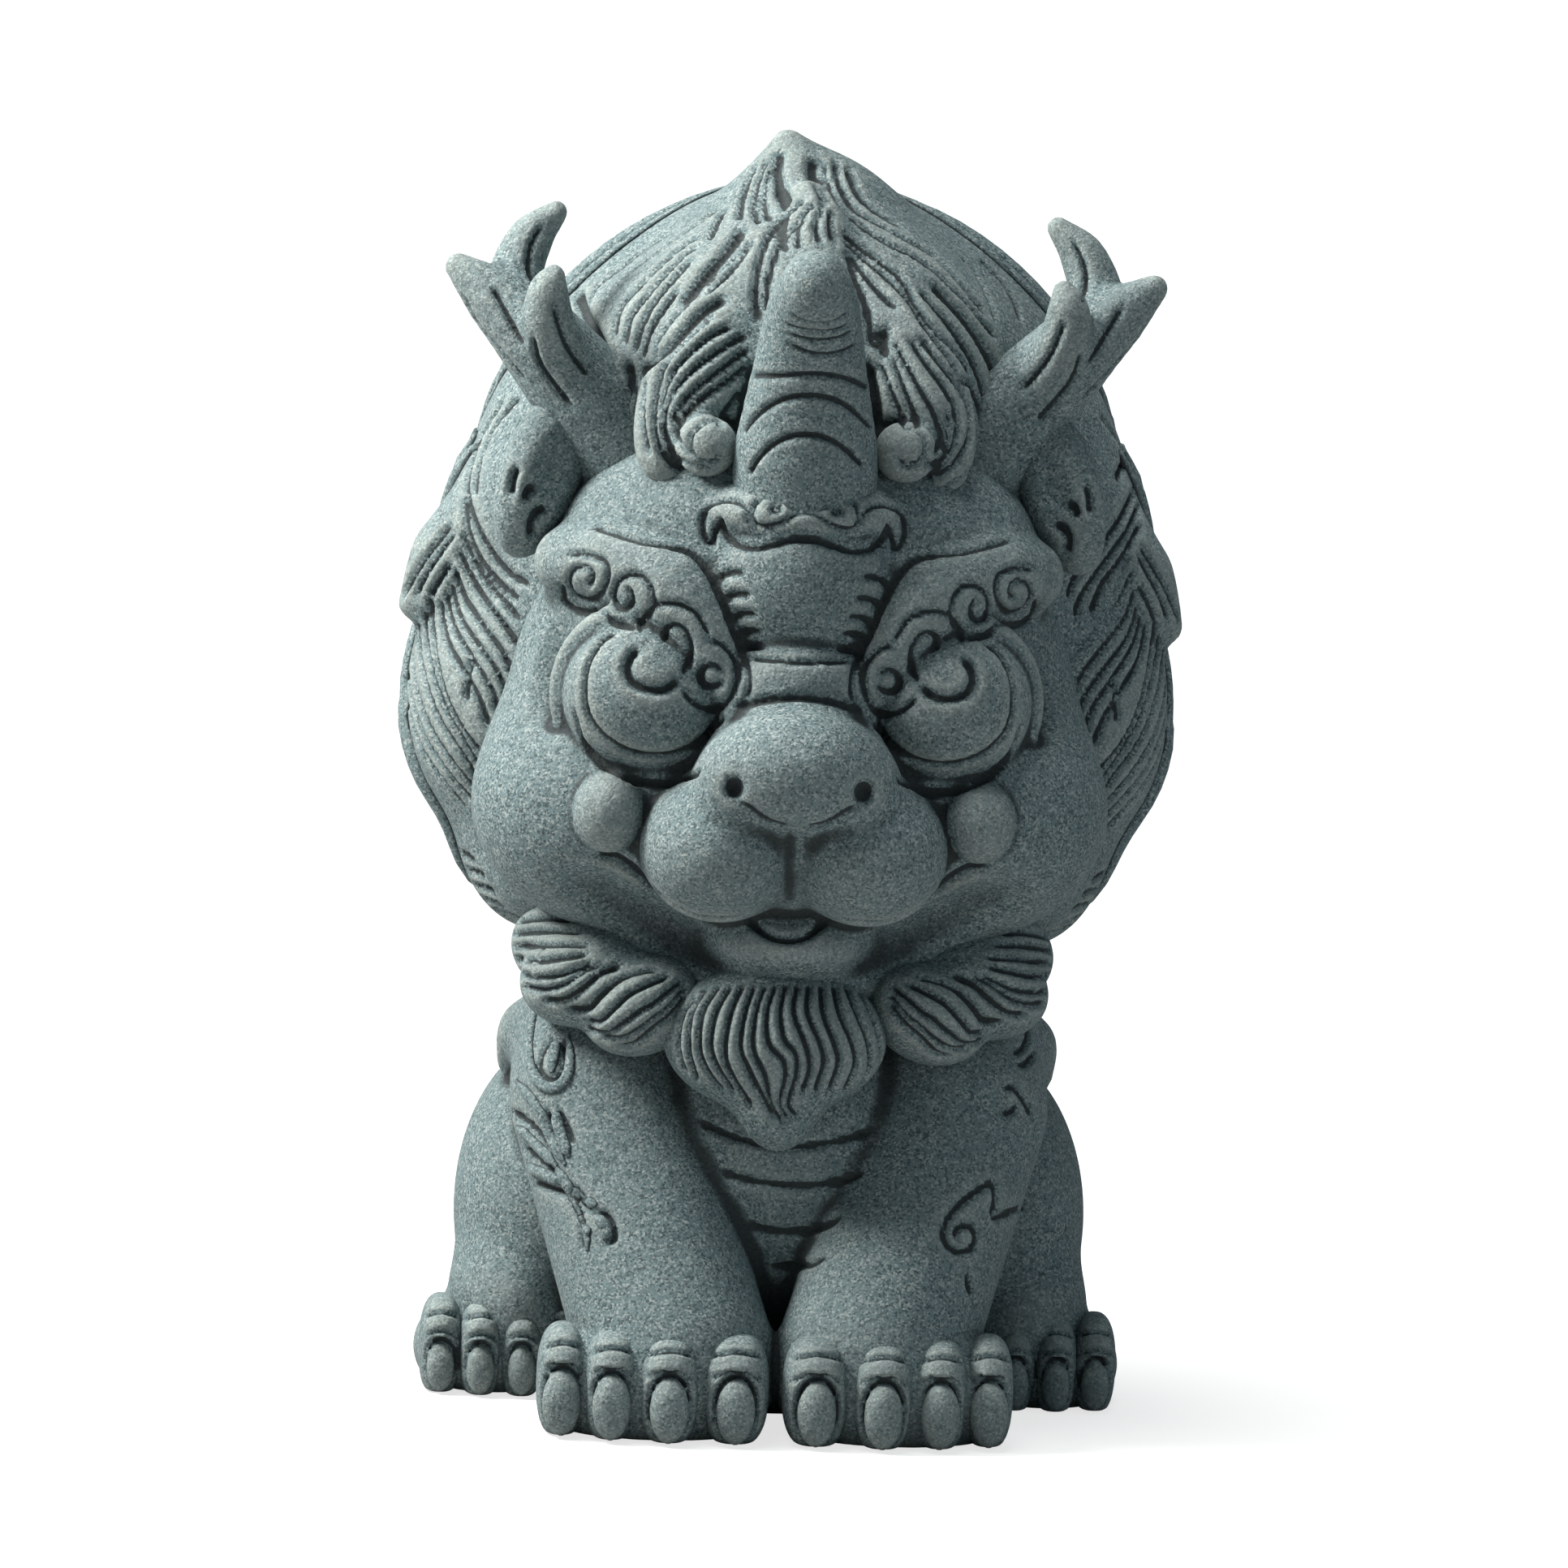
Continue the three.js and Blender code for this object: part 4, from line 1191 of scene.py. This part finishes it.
def back_locks(surface):
    """Flame-shaped locks in tiers over the back of the head, each a few strands that run to one tip."""
    paths = []
    run = np.linspace(0, 1, PATH_PLACES)
    for tier in BACK_TIERS:
        width = 2 * tier["spread"] / tier["locks"]
        polars = tier["from"] + (tier["to"] - tier["from"]) * run
        for lock in range(tier["locks"]):
            middle = -tier["spread"] + width * (lock + 0.5)
            sweep = tier["curl"] * np.sin(run * LOCK_WAVE) * (1 if middle >= 0 else -1)
            room = width * LOCK_OVERLAP * (1 - LOCK_TAPER * run**TAPER_POWER)
            lanes = [middle + sweep + (k / STRANDS - 0.5) * room for k in range(STRANDS + 1)]
            for strand, (a, b) in enumerate(zip(lanes, lanes[1:])):
                across = (2 * strand + 1) / STRANDS - 1
                bulge = LOCK_BULGE * (1 - across**2) * np.sin(math.pi * run) ** 0.5
                places, normals = lock_strand(surface, (a + b) / 2, polars)
                left = lock_strand(surface, a, polars)[0]
                right = lock_strand(surface, b, polars)[0]
                half = tapered(np.clip(np.linalg.norm(left - right, axis=1) / 2, *LOCK_HALVES))
                paths.append((places + normals * (SUNK * half + bulge)[:, None], normals, half))
    return paths


def whole_mane():
    """A search tree over both halves of the mane, in mm."""
    places, faces = [], []
    for half in (mane_front, mane_back):
        faces += [tuple(corner + len(places) for corner in face.vertices) for face in half.data.polygons]
        places += corners_of(half).tolist()
    return BVHTree.FromPolygons(places, faces)


def mark_roots(piece, surface, reach):
    """Stores how close each vertex of the hair lies to the stone under it, for dirt and painted shade between
    ridges.
    """
    values = []
    for place in corners_of(piece):
        near, normal = surface.find_nearest(place.tolist())[:2]
        height = (Vector(place) - near).dot(normal)
        values.append(1 - min(max(height / reach, 0), 1))
    layer = piece.data.attributes.new("hollow", "FLOAT", "POINT")
    layer.data.foreach_set("value", np.array(values, np.float32) * ROOT_DIRT_AND_SHADE)


core = whole_mane()
back_hair = swept("back_hair", back_locks(core), height=0.75)
mark_roots(back_hair, core, reach=1.3)

# %% [markdown]
# ## The body
#
# A round seat with a broad chest, two thick forelegs close together in front, and wide haunches that make
# the statue as stable as it looks. It is built from bulges like the head, because the legs run into the chest
# without an edge. The base is cut flat so that it stands.

# %% Body
SEAT = egg((0, 28, 40), (96, 98, 72))
TORSO = egg((0, 28, 74), (88, 92, 74))
CHEST = egg((0, -34, 100), (66, 54, 74))
SHOULDERS = both(egg, (66, -26, 126), (38, 46, 44))
FORELEGS = both_limbs([(68, -46, 120), (38, -94, 30)], [36, 37.5])
SHOULDER_LOCKS = both_limbs([(80, -26, 146), (95, -6, 140), (104, 12, 127)], [18, 14, 5])
HAUNCHES = both(egg, (80, 36, 68), (43, 68, 66), turn=(0, 0, 8))
HIND_SHINS = both(egg, (98, 6, 36), (27, 40, 34))
HIND_PAWS = both(egg, (108, 8, 14), (30, 38, 23))
FORE_PAWS = both(egg, (46, -98, 18), (45, 34, 29))
BODY_FORMS = [
    ((SEAT, TORSO, CHEST), 14),
    (SHOULDERS, 10),
    (FORELEGS + SHOULDER_LOCKS, 6),
    (HAUNCHES, 8),
    (HIND_SHINS + HIND_PAWS + FORE_PAWS, 6),
]
BODY_GRID = ((-140, -140, -6), (140, 140, 184), 1.8)
GROUND = flat((0, 0, -1), 0)


def body_stone():
    field = Field(*BODY_GRID)
    field.add_all(BODY_FORMS)
    field.keep(GROUND, SHARP)
    return skin(field, "body")


body = body_stone()

# %% [markdown]
# ### Toes
#
# Four toes on each paw, side by side, each with two creases over the knuckles and an oval nail in a shallow
# seat. They repeat, so one function makes a row from a few sizes, and a loop calls it for each paw.

# %% Toes
FORE_TOES = {
    "places": [(15.5, -116, 20), (41, -118, 20), (63, -114, 20), (82, -106, 20)],
    "widths": [13, 12, 10.6, 9.6],
    "length": 23,
    "height": 22,
    "nail": (7.5, 6, 13),
}
HIND_TOES = {
    "places": [(80, -14, 17), (96, -16, 17), (112, -16, 17), (127.5, -11, 17)],
    "widths": [8, 8.5, 8.5, 8.5],
    "length": 22,
    "height": 20,
    "nail": (5.5, 4, 10),
}
CREASE_GROOVE = Groove(4.0, 2.2)
CREASE_RISES = (0.42, 0.78)
CREASE_SPREAD = 0.8
CREASE_PLACES = 15
CREASE_SAG = 0.22
IN_FRONT = 60
TOE_ROOM = 34
TOE_FLOOR = -4
TOE_STEP = 1.3
NAIL_BACK = 3
NAIL_DROP = 6
NAIL_RIM = (2.4, 1.4, 2.4)
NAIL_SUNK = 1.5
TOE_BLEND = 0.8
NAIL_SEAT_BLEND = 1.5
NAIL_BLEND = 0.5


def toe_creases(surface, places, toes):
    """Arcs over the knuckles, thrown on from in front."""
    creases = []
    for place, width in zip(places, toes["widths"]):
        for rise in CREASE_RISES:
            arc = []
            for turn in np.linspace(-CREASE_SPREAD, CREASE_SPREAD, CREASE_PLACES):
                level = toes["height"] * (rise - CREASE_SAG * turn**2)
                spot = place + (width * turn, -IN_FRONT, level)
                hit = surface.ray_cast(spot.tolist(), (0, 1, 0))[0]
                if hit is not None:
                    arc.append(hit)
            creases.append(np.array(arc))
    return creases


def paw_stone(side, toes, name):
    """A row of toes with their nails."""
    places = np.array([(side * x, y, z) for x, y, z in toes["places"]], float)
    low = places.min(axis=0) - TOE_ROOM
    low[2] = TOE_FLOOR
    field = Field(low, places.max(axis=0) + TOE_ROOM, TOE_STEP)
    nails = [place + (0, NAIL_BACK - toes["length"], -NAIL_DROP) for place in places]
    for place, width in zip(places, toes["widths"]):
        field.add(block(place, (width, toes["length"], toes["height"])), TOE_BLEND)
    for nail in nails:
        field.cut(egg(nail, np.add(toes["nail"], NAIL_RIM)), NAIL_SEAT_BLEND)
    for nail in nails:
        field.add(egg(nail + (0, NAIL_SUNK, 0), toes["nail"]), NAIL_BLEND)
    field.keep(GROUND)
    made = skin(field, name, relax=3)
    carve(made, toe_creases(surface_of(made), places, toes), CREASE_GROOVE)
    return made


paws = []
for side, word in ((1, "left"), (-1, "right")):
    paws.append(paw_stone(side, FORE_TOES, "fore_toes_" + word))
    paws.append(paw_stone(side, HIND_TOES, "hind_toes_" + word))

# %% [markdown]
# ### Lines on the body
#
# Bands cross the chest below the beard, and scrolls are cut on a foreleg and round the tufts. The flame tufts
# on shoulder and elbow stand out instead, so they are swept with the same ridge tree as the hair.

# %% Body lines
FLANK_RIGHT = Sheet((1000, 1100), 3.92)
PAW_RIGHT = Sheet((940, 1400), 3.484)
BAND_GROOVE = Groove(4.5, 2.6)
SCROLL_GROOVE = Groove(4.6, 2.8)
TUFT_HALF = 2.4
TUFT_SPACING = 1.2
LEAP = 4.0
FEWEST_PLACES = 6
CHEST_LINES = [
    [(1150, 1150), (1230, 1190), (1330, 1225), (1430, 1245), (1560, 1240), (1700, 1215), (1790, 1180)],
    [(1240, 1340), (1330, 1370), (1450, 1385), (1560, 1390), (1680, 1370), (1760, 1340)],
    [(1330, 1535), (1430, 1560), (1530, 1560), (1620, 1540), (1680, 1500)],
    [(1420, 1690), (1500, 1690), (1570, 1680), (1620, 1650)],
]
TUFT_LINES = [
    [(425, 190), (405, 270), (398, 350), (412, 430), (455, 478), (505, 475), (540, 430), (548, 350),
     (540, 290)],
    [(495, 310), (488, 360), (480, 425)],
    [(350, 455), (415, 535), (450, 600), (490, 690), (530, 765)],
    [(492, 570), (506, 630), (526, 690), (545, 735)],
    [(305, 605), (370, 640), (430, 700), (500, 770)],
    [(350, 740), (400, 775), (460, 805), (515, 830)],
    [(500, 775), (540, 845), (580, 925), (610, 1000), (612, 1080)],
    [(560, 855), (600, 890), (645, 915)],
    [(645, 955), (682, 1000), (672, 1042)],
]
FLANK_LINES_LEFT = [
    [(515, 285), (522, 340), (522, 405), (495, 445), (455, 445), (430, 410), (440, 360), (465, 315),
     (490, 290)],
    [(330, 570), (390, 610), (440, 660), (480, 720)],
    [(462, 555), (470, 625), (500, 690)],
    [(495, 555), (530, 620), (560, 690)],
    [(375, 700), (430, 745), (490, 800)],
    [(410, 830), (470, 850), (535, 875), (575, 940), (595, 1010), (590, 1080)],
    [(545, 840), (585, 880), (625, 945)],
    [(640, 940), (680, 955), (705, 995), (708, 1035), (682, 1062)],
]
FLANK_LINES_RIGHT = [
    [(1050, 590), (1050, 680), (1030, 740), (980, 780)],
    [(1080, 770), (1040, 820), (990, 825)],
    [(930, 955), (965, 935), (1000, 960), (1040, 1020), (1070, 1090)],
    [(1000, 1010), (975, 1055), (915, 1075)],
    [(820, 570), (790, 600), (830, 640), (900, 660), (960, 655)],
]
SCROLL_LINES = [
    [(1000, 340), (1000, 270), (985, 205), (930, 230), (860, 280), (800, 350), (778, 420), (800, 470),
     (850, 495), (905, 475), (915, 420), (890, 385), (850, 385), (830, 420), (845, 450)],
    [(985, 290), (1000, 350), (1060, 330), (1130, 300)],
    [(880, 580), (885, 640), (905, 690)],
]


def body_lines():
    surface = surface_of(body)
    bands = lines_on(surface, LOW_LEFT, CHEST_LINES)
    carve(body, bands, BAND_GROOVE)
    scrolls = lines_on(surface, PAW_RIGHT, SCROLL_LINES)
    scrolls += lines_on(surface, FLANK_LEFT, FLANK_LINES_LEFT)
    scrolls += lines_on(surface, FLANK_RIGHT, FLANK_LINES_RIGHT)
    carve(body, scrolls, SCROLL_GROOVE)
    print("body lines:", len(bands) + len(scrolls))


def unbroken(places, normals):
    """The runs of a thrown line that don't leap from one leg to what lies behind it."""
    leaps = np.flatnonzero(np.linalg.norm(np.diff(places, axis=0), axis=1) > LEAP) + 1
    runs = zip(np.split(places, leaps), np.split(normals, leaps))
    return [(run, run_normals) for run, run_normals in runs if len(run) >= FEWEST_PLACES]


def body_tufts():
    """Raised ridges of hair on the shoulder and elbow."""
    surface = surface_of(body)
    paths = []
    for line in TUFT_LINES:
        for places, normals in unbroken(*thrown(surface, dense(FLANK_LEFT.spots(line), TUFT_SPACING))):
            half = tapered(np.full(len(places), TUFT_HALF))
            paths.append((places, normals, half))
    made = swept("tufts", paths, height=0.8)
    mark_roots(made, surface, reach=1.0)
    return made


body_lines()
tufts = body_tufts()

# %% [markdown]
# ### The tail
#
# It is hidden in the photograph. Beasts of this kind have a short tail like a flame that rises behind the
# seat, so a tapering limb that sways a little from side to side stands for it.

# %% Tail
TAIL_ROOT = np.array([0, 114, 48])
TAIL = [(0, -14, -5), (0, 14, 5), (5, 34, 30), (-6, 41, 58), (6, 44, 82), (-2, 46, 102)]
TAIL_RADII = [17, 18, 19, 17, 12, 4]
TAIL_GRID = ((-32, 90, 20), (32, 185, 160), 1.6)


def tail_stone():
    field = Field(*TAIL_GRID)
    field.add(limb(np.array(TAIL) + TAIL_ROOT, TAIL_RADII, parts=24))
    return skin(field, "tail")


tail = tail_stone()

# %% [markdown]
# ## Granite
#
# Granite is a tight mix of grains, each about a millimetre: pale feldspar, grey quartz, black mica. Noise
# alone would give clouds, so a Voronoi texture gives every grain its own random number. The hollow value
# stored on the vertices darkens the grooves: part of it is dirt that grooves hold, part is painted shade for
# the shadow that falls in them. The tops that hands and rain have rubbed are a little paler. A small class
# lets shader maths be written like any other sum.

# %% Shader maths
class Wire:
    """A shader socket that can be added, multiplied and mixed like a number."""

    def __init__(self, tree, socket):
        self.tree = tree
        self.socket = socket

    def node(self, kind, settings=None, out=0, **sockets):
        """A node of any kind: settings are set first, then sockets by name."""
        made = self.tree.nodes.new("ShaderNode" + kind)
        for name, value in (settings or {}).items():
            setattr(made, name, value)
        for name, value in sockets.items():
            target = made.inputs[int(name[1:])] if name[0] == "_" else made.inputs[name.replace("_", " ")]
            if isinstance(value, Wire):
                self.tree.links.new(value.socket, target)
            else:
                target.default_value = value
        return Wire(self.tree, made.outputs[out])

    def math(self, operation, other, turned_round=False):
        first, second = (other, self) if turned_round else (self, other)
        return self.node("Math", {"operation": operation}, _0=first, _1=second)

    def __add__(self, other):
        return self.math("ADD", other)

    def __radd__(self, other):
        return self.math("ADD", other, True)

    def __sub__(self, other):
        return self.math("SUBTRACT", other)

    def __rsub__(self, other):
        return self.math("SUBTRACT", other, True)

    def __mul__(self, other):
        return self.math("MULTIPLY", other)

    def __rmul__(self, other):
        return self.math("MULTIPLY", other, True)

    def stretch(self, low, high):
        """0 below low, 1 above high, smooth between."""
        settings = {"interpolation_type": "SMOOTHSTEP"}
        return self.node("MapRange", settings, Value=self, From_Min=low, From_Max=high)

    def mixed(self, first, second):
        """first where this is 0, second where it is 1, as colours."""
        return self.node("Mix", {"data_type": "RGBA"}, out=2, _0=self, _6=first, _7=second)


def new_material(name):
    """A material with an empty Principled shader, its first wire and the object's coordinates in mm."""
    material = bpy.data.materials.new(name)
    material.use_nodes = True
    tree = material.node_tree
    shader = tree.nodes["Principled BSDF"]
    start = Wire(tree, tree.nodes.new("ShaderNodeTexCoord").outputs["Object"])
    place = start.node("VectorMath", {"operation": "SCALE"}, _0=start, Scale=1 / MM)
    return material, shader, place


def plug(place, value, shader, name):
    place.tree.links.new(value.socket, shader.inputs[name])


print("shader maths ready")

# %% [markdown]
# ### Finishes
#
# The grains are mixed from dark to pale, then clouded, darkened in the hollows and rubbed in that order; the
# darkening is partly dirt, as weather leaves it, and partly painted shade.
# The hidden fixings only need two tones and a little roughness.

# %% Finishes
GRAIN_SIZE = 0.8
GRAIN_BLUR = 0.8
DARK_GRAINS = (0.30, 0.10)
PALE_GRAINS = (0.66, 0.95)
PALE_SHARE = 0.75
CLOUD_SHARE = 0.25
# how far and how strongly the hollows are darkened: partly dirt, partly painted shade where shadow falls in
# them
DIRT_AND_SHADE_RANGE = (0.04, 0.6)
DIRT_AND_SHADE_SHARE = 0.92
RUBBED_RANGE = (0.1, 0.9)
RUBBED_SHARE = 0.35
GRANITE_DARK = (0.042, 0.068, 0.075, 1)
GRANITE_MID = (0.127, 0.181, 0.190, 1)
GRANITE_PALE = (0.350, 0.390, 0.375, 1)
# near-black for the hollows: partly dirt, partly painted shade
GRANITE_DIRT_AND_SHADE = (0.012, 0.017, 0.018, 1)
GRANITE_CLOUD = (0.115, 0.150, 0.152, 1)
GRANITE_RUBBED = (0.36, 0.39, 0.36, 1)


def granite():
    material, shader, place = new_material("granite")
    grain = place.node("TexVoronoi", {}, out=1, Vector=place, Scale=1 / GRAIN_SIZE)
    lot = grain.node("SeparateColor", {}, Color=grain)
    fine = place.node("TexNoise", {}, Vector=place, Scale=0.9, Detail=3.0, Roughness=0.65)
    broad = place.node("TexNoise", {}, Vector=place, Scale=0.02, Detail=2.0)
    hollow = place.node("Attribute", {"attribute_name": "hollow"}, out=2)
    shade = lot + (fine - 0.5) * GRAIN_BLUR
    base = shade.stretch(*DARK_GRAINS).mixed(GRANITE_MID, GRANITE_DARK)
    base = (shade.stretch(*PALE_GRAINS) * PALE_SHARE).mixed(base, GRANITE_PALE)
    base = (broad.stretch(0.3, 0.7) * CLOUD_SHARE).mixed(base, GRANITE_CLOUD)
    # painted shade and dirt: grooves and the gaps between ridges are mixed towards near-black
    base = (hollow.stretch(*DIRT_AND_SHADE_RANGE) * DIRT_AND_SHADE_SHARE).mixed(base, GRANITE_DIRT_AND_SHADE)
    base = ((hollow * -1.0).stretch(*RUBBED_RANGE) * RUBBED_SHARE).mixed(base, GRANITE_RUBBED)
    plug(place, base, shader, "Base Color")
    plug(place, 0.74 + fine * 0.2, shader, "Roughness")
    uneven = place.node("TexNoise", {}, Vector=place, Scale=0.16, Detail=3.0, Roughness=0.6)
    height = fine + lot * 0.4 + uneven * 3.0
    bump = place.node("Bump", {}, Height=height, Strength=0.40, Distance=0.0012)
    plug(place, bump, shader, "Normal")
    return material


def bare(name, tones, scale, roughness, metallic):
    """A simple two-tone finish for the hidden fixings."""
    material, shader, place = new_material(name)
    noise = place.node("TexNoise", {}, Vector=place, Scale=scale, Detail=4.0)
    plug(place, noise.mixed(*tones), shader, "Base Color")
    plug(place, noise * 0.2 + roughness, shader, "Roughness")
    shader.inputs["Metallic"].default_value = metallic
    bump = place.node("Bump", {}, Height=noise, Strength=0.3, Distance=0.0004)
    plug(place, bump, shader, "Normal")
    return material


GRANITE = granite()
STEEL_TONES = ((0.42, 0.43, 0.44, 1), (0.60, 0.61, 0.62, 1))
RESIN_TONES = ((0.30, 0.28, 0.24, 1), (0.42, 0.40, 0.34, 1))
MORTAR_TONES = ((0.26, 0.26, 0.25, 1), (0.46, 0.46, 0.43, 1))
STEEL = bare("steel", STEEL_TONES, scale=0.4, roughness=0.28, metallic=1.0)
RESIN = bare("resin", RESIN_TONES, scale=0.2, roughness=0.45, metallic=0.0)
MORTAR = bare("mortar", MORTAR_TONES, scale=0.8, roughness=0.85, metallic=0.0)
print("finishes:", [finish.name for finish in (GRANITE, STEEL, RESIN, MORTAR)])

# %% [markdown]
# ## Handing the pieces over
#
# Every stone of the assembly is stood for by the finer pieces made above. The dowels and beds inside are
# hidden by the stones and keep the shapes they came with, in finishes of their own.

# %% Pieces
STANDS_FOR = {
    "head_stone": [mane_front, mane_back, face, *ears, beard, fringe, back_hair],
    "forehead_horn": [horn],
    "antler_left": [antlers[0]],
    "antler_right": [antlers[1]],
    "body_stone": [body, tufts, *paws],
    "tail_stone": [tail],
}
for node, group in STANDS_FOR.items():
    for piece in group:
        if "hollow" not in piece.data.attributes:
            mark_hollows(piece)
        piece.data.materials.clear()
        piece.data.materials.append(GRANITE)
        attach(piece, "root")
        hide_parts(node)

FIXING_FINISH = {"dowel": STEEL, "neck_bed": MORTAR, "bed": RESIN}
for name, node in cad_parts.items():
    if name in STANDS_FOR:
        continue
    finish = next(material for word, material in FIXING_FINISH.items() if word in name)
    for material_slot in node.material_slots:
        material_slot.material = finish
print("stones:", len(STANDS_FOR), "fixings:", len(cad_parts) - len(STANDS_FOR))

# %% [markdown]
# ## Light and floor
#
# A soft light overhead that also lights the floor, a nearer one at the upper left and a weak fill from the
# right. The surround and the floor are white to the camera alone. A surround that lit the stone as brightly
# would take away its dark side.

# %% Light
STATUE_MIDDLE = Vector((0, 0, 0.28))
AMBIENT = 0.16
AMBIENT_TINT = (0.78, 0.92, 1.0, 1)
WHITE = (1, 1, 1, 1)
BLACK = (0, 0, 0, 1)
FLOOR_SIDE = 30.0
FLOOR_TONES = ((0.34, 0.34, 0.34, 1), (0.36, 0.36, 0.36, 1))
FLOOR_GLOW = 0.72


def area_light(name, place, size, watts, colour):
    lamp = bpy.data.lights.new(name, "AREA")
    lamp.size = size
    lamp.energy = watts
    lamp.color = colour
    holder = bpy.data.objects.new(name, lamp)
    holder.location = place
    holder.rotation_euler = (STATUE_MIDDLE - Vector(place)).to_track_quat("-Z", "Y").to_euler()
    bpy.context.scene.collection.objects.link(holder)


def sun_light(name, place, softness, strength, colour):
    """A far light, so that the floor is lit evenly as far as the eye can see."""
    lamp = bpy.data.lights.new(name, "SUN")
    lamp.angle = math.radians(softness)
    lamp.energy = strength
    lamp.color = colour
    holder = bpy.data.objects.new(name, lamp)
    holder.rotation_euler = (-Vector(place)).to_track_quat("-Z", "Y").to_euler()
    bpy.context.scene.collection.objects.link(holder)


def white_surround():
    world = bpy.data.worlds.new("surround")
    bpy.context.scene.world = world
    world.use_nodes = True
    tree = world.node_tree
    seen = Wire(tree, tree.nodes.new("ShaderNodeLightPath").outputs["Is Camera Ray"])
    strength = seen * (1 - AMBIENT) + AMBIENT
    tree.links.new(strength.socket, tree.nodes["Background"].inputs["Strength"])
    tint = seen.mixed(AMBIENT_TINT, WHITE)
    tree.links.new(tint.socket, tree.nodes["Background"].inputs["Color"])


def floor():
    mesh = bpy.data.meshes.new("floor")
    corners = [(-1, -1, 0), (1, -1, 0), (1, 1, 0), (-1, 1, 0)]
    mesh.from_pydata((np.array(corners) * FLOOR_SIDE).tolist(), [], [(0, 1, 2, 3)])
    piece = linked("floor", mesh)
    material, shader, place = new_material("floor")
    noise = place.node("TexNoise", {}, Vector=place, Scale=0.01, Detail=2.0)
    plug(place, noise.mixed(*FLOOR_TONES), shader, "Base Color")
    shader.inputs["Roughness"].default_value = 0.9
    seen = place.node("LightPath", {}, out=0)
    plug(place, seen.mixed(BLACK, WHITE), shader, "Emission Color")
    shader.inputs["Emission Strength"].default_value = FLOOR_GLOW
    mesh.materials.append(material)


sun_light("overhead", (-0.5, 0.15, 2.0), softness=40, strength=3.3, colour=(1.0, 1.0, 0.98))
area_light("key", (-0.92, -0.1, 1.0), size=0.4, watts=24, colour=(1.0, 0.99, 0.95))
area_light("fill", (1.6, -1.2, 0.7), size=1.2, watts=4, colour=(0.72, 0.88, 1.0))
white_surround()
floor()
print("lights:", [light.name for light in bpy.data.lights])
bpy.context.scene.view_settings.view_transform = "Standard"
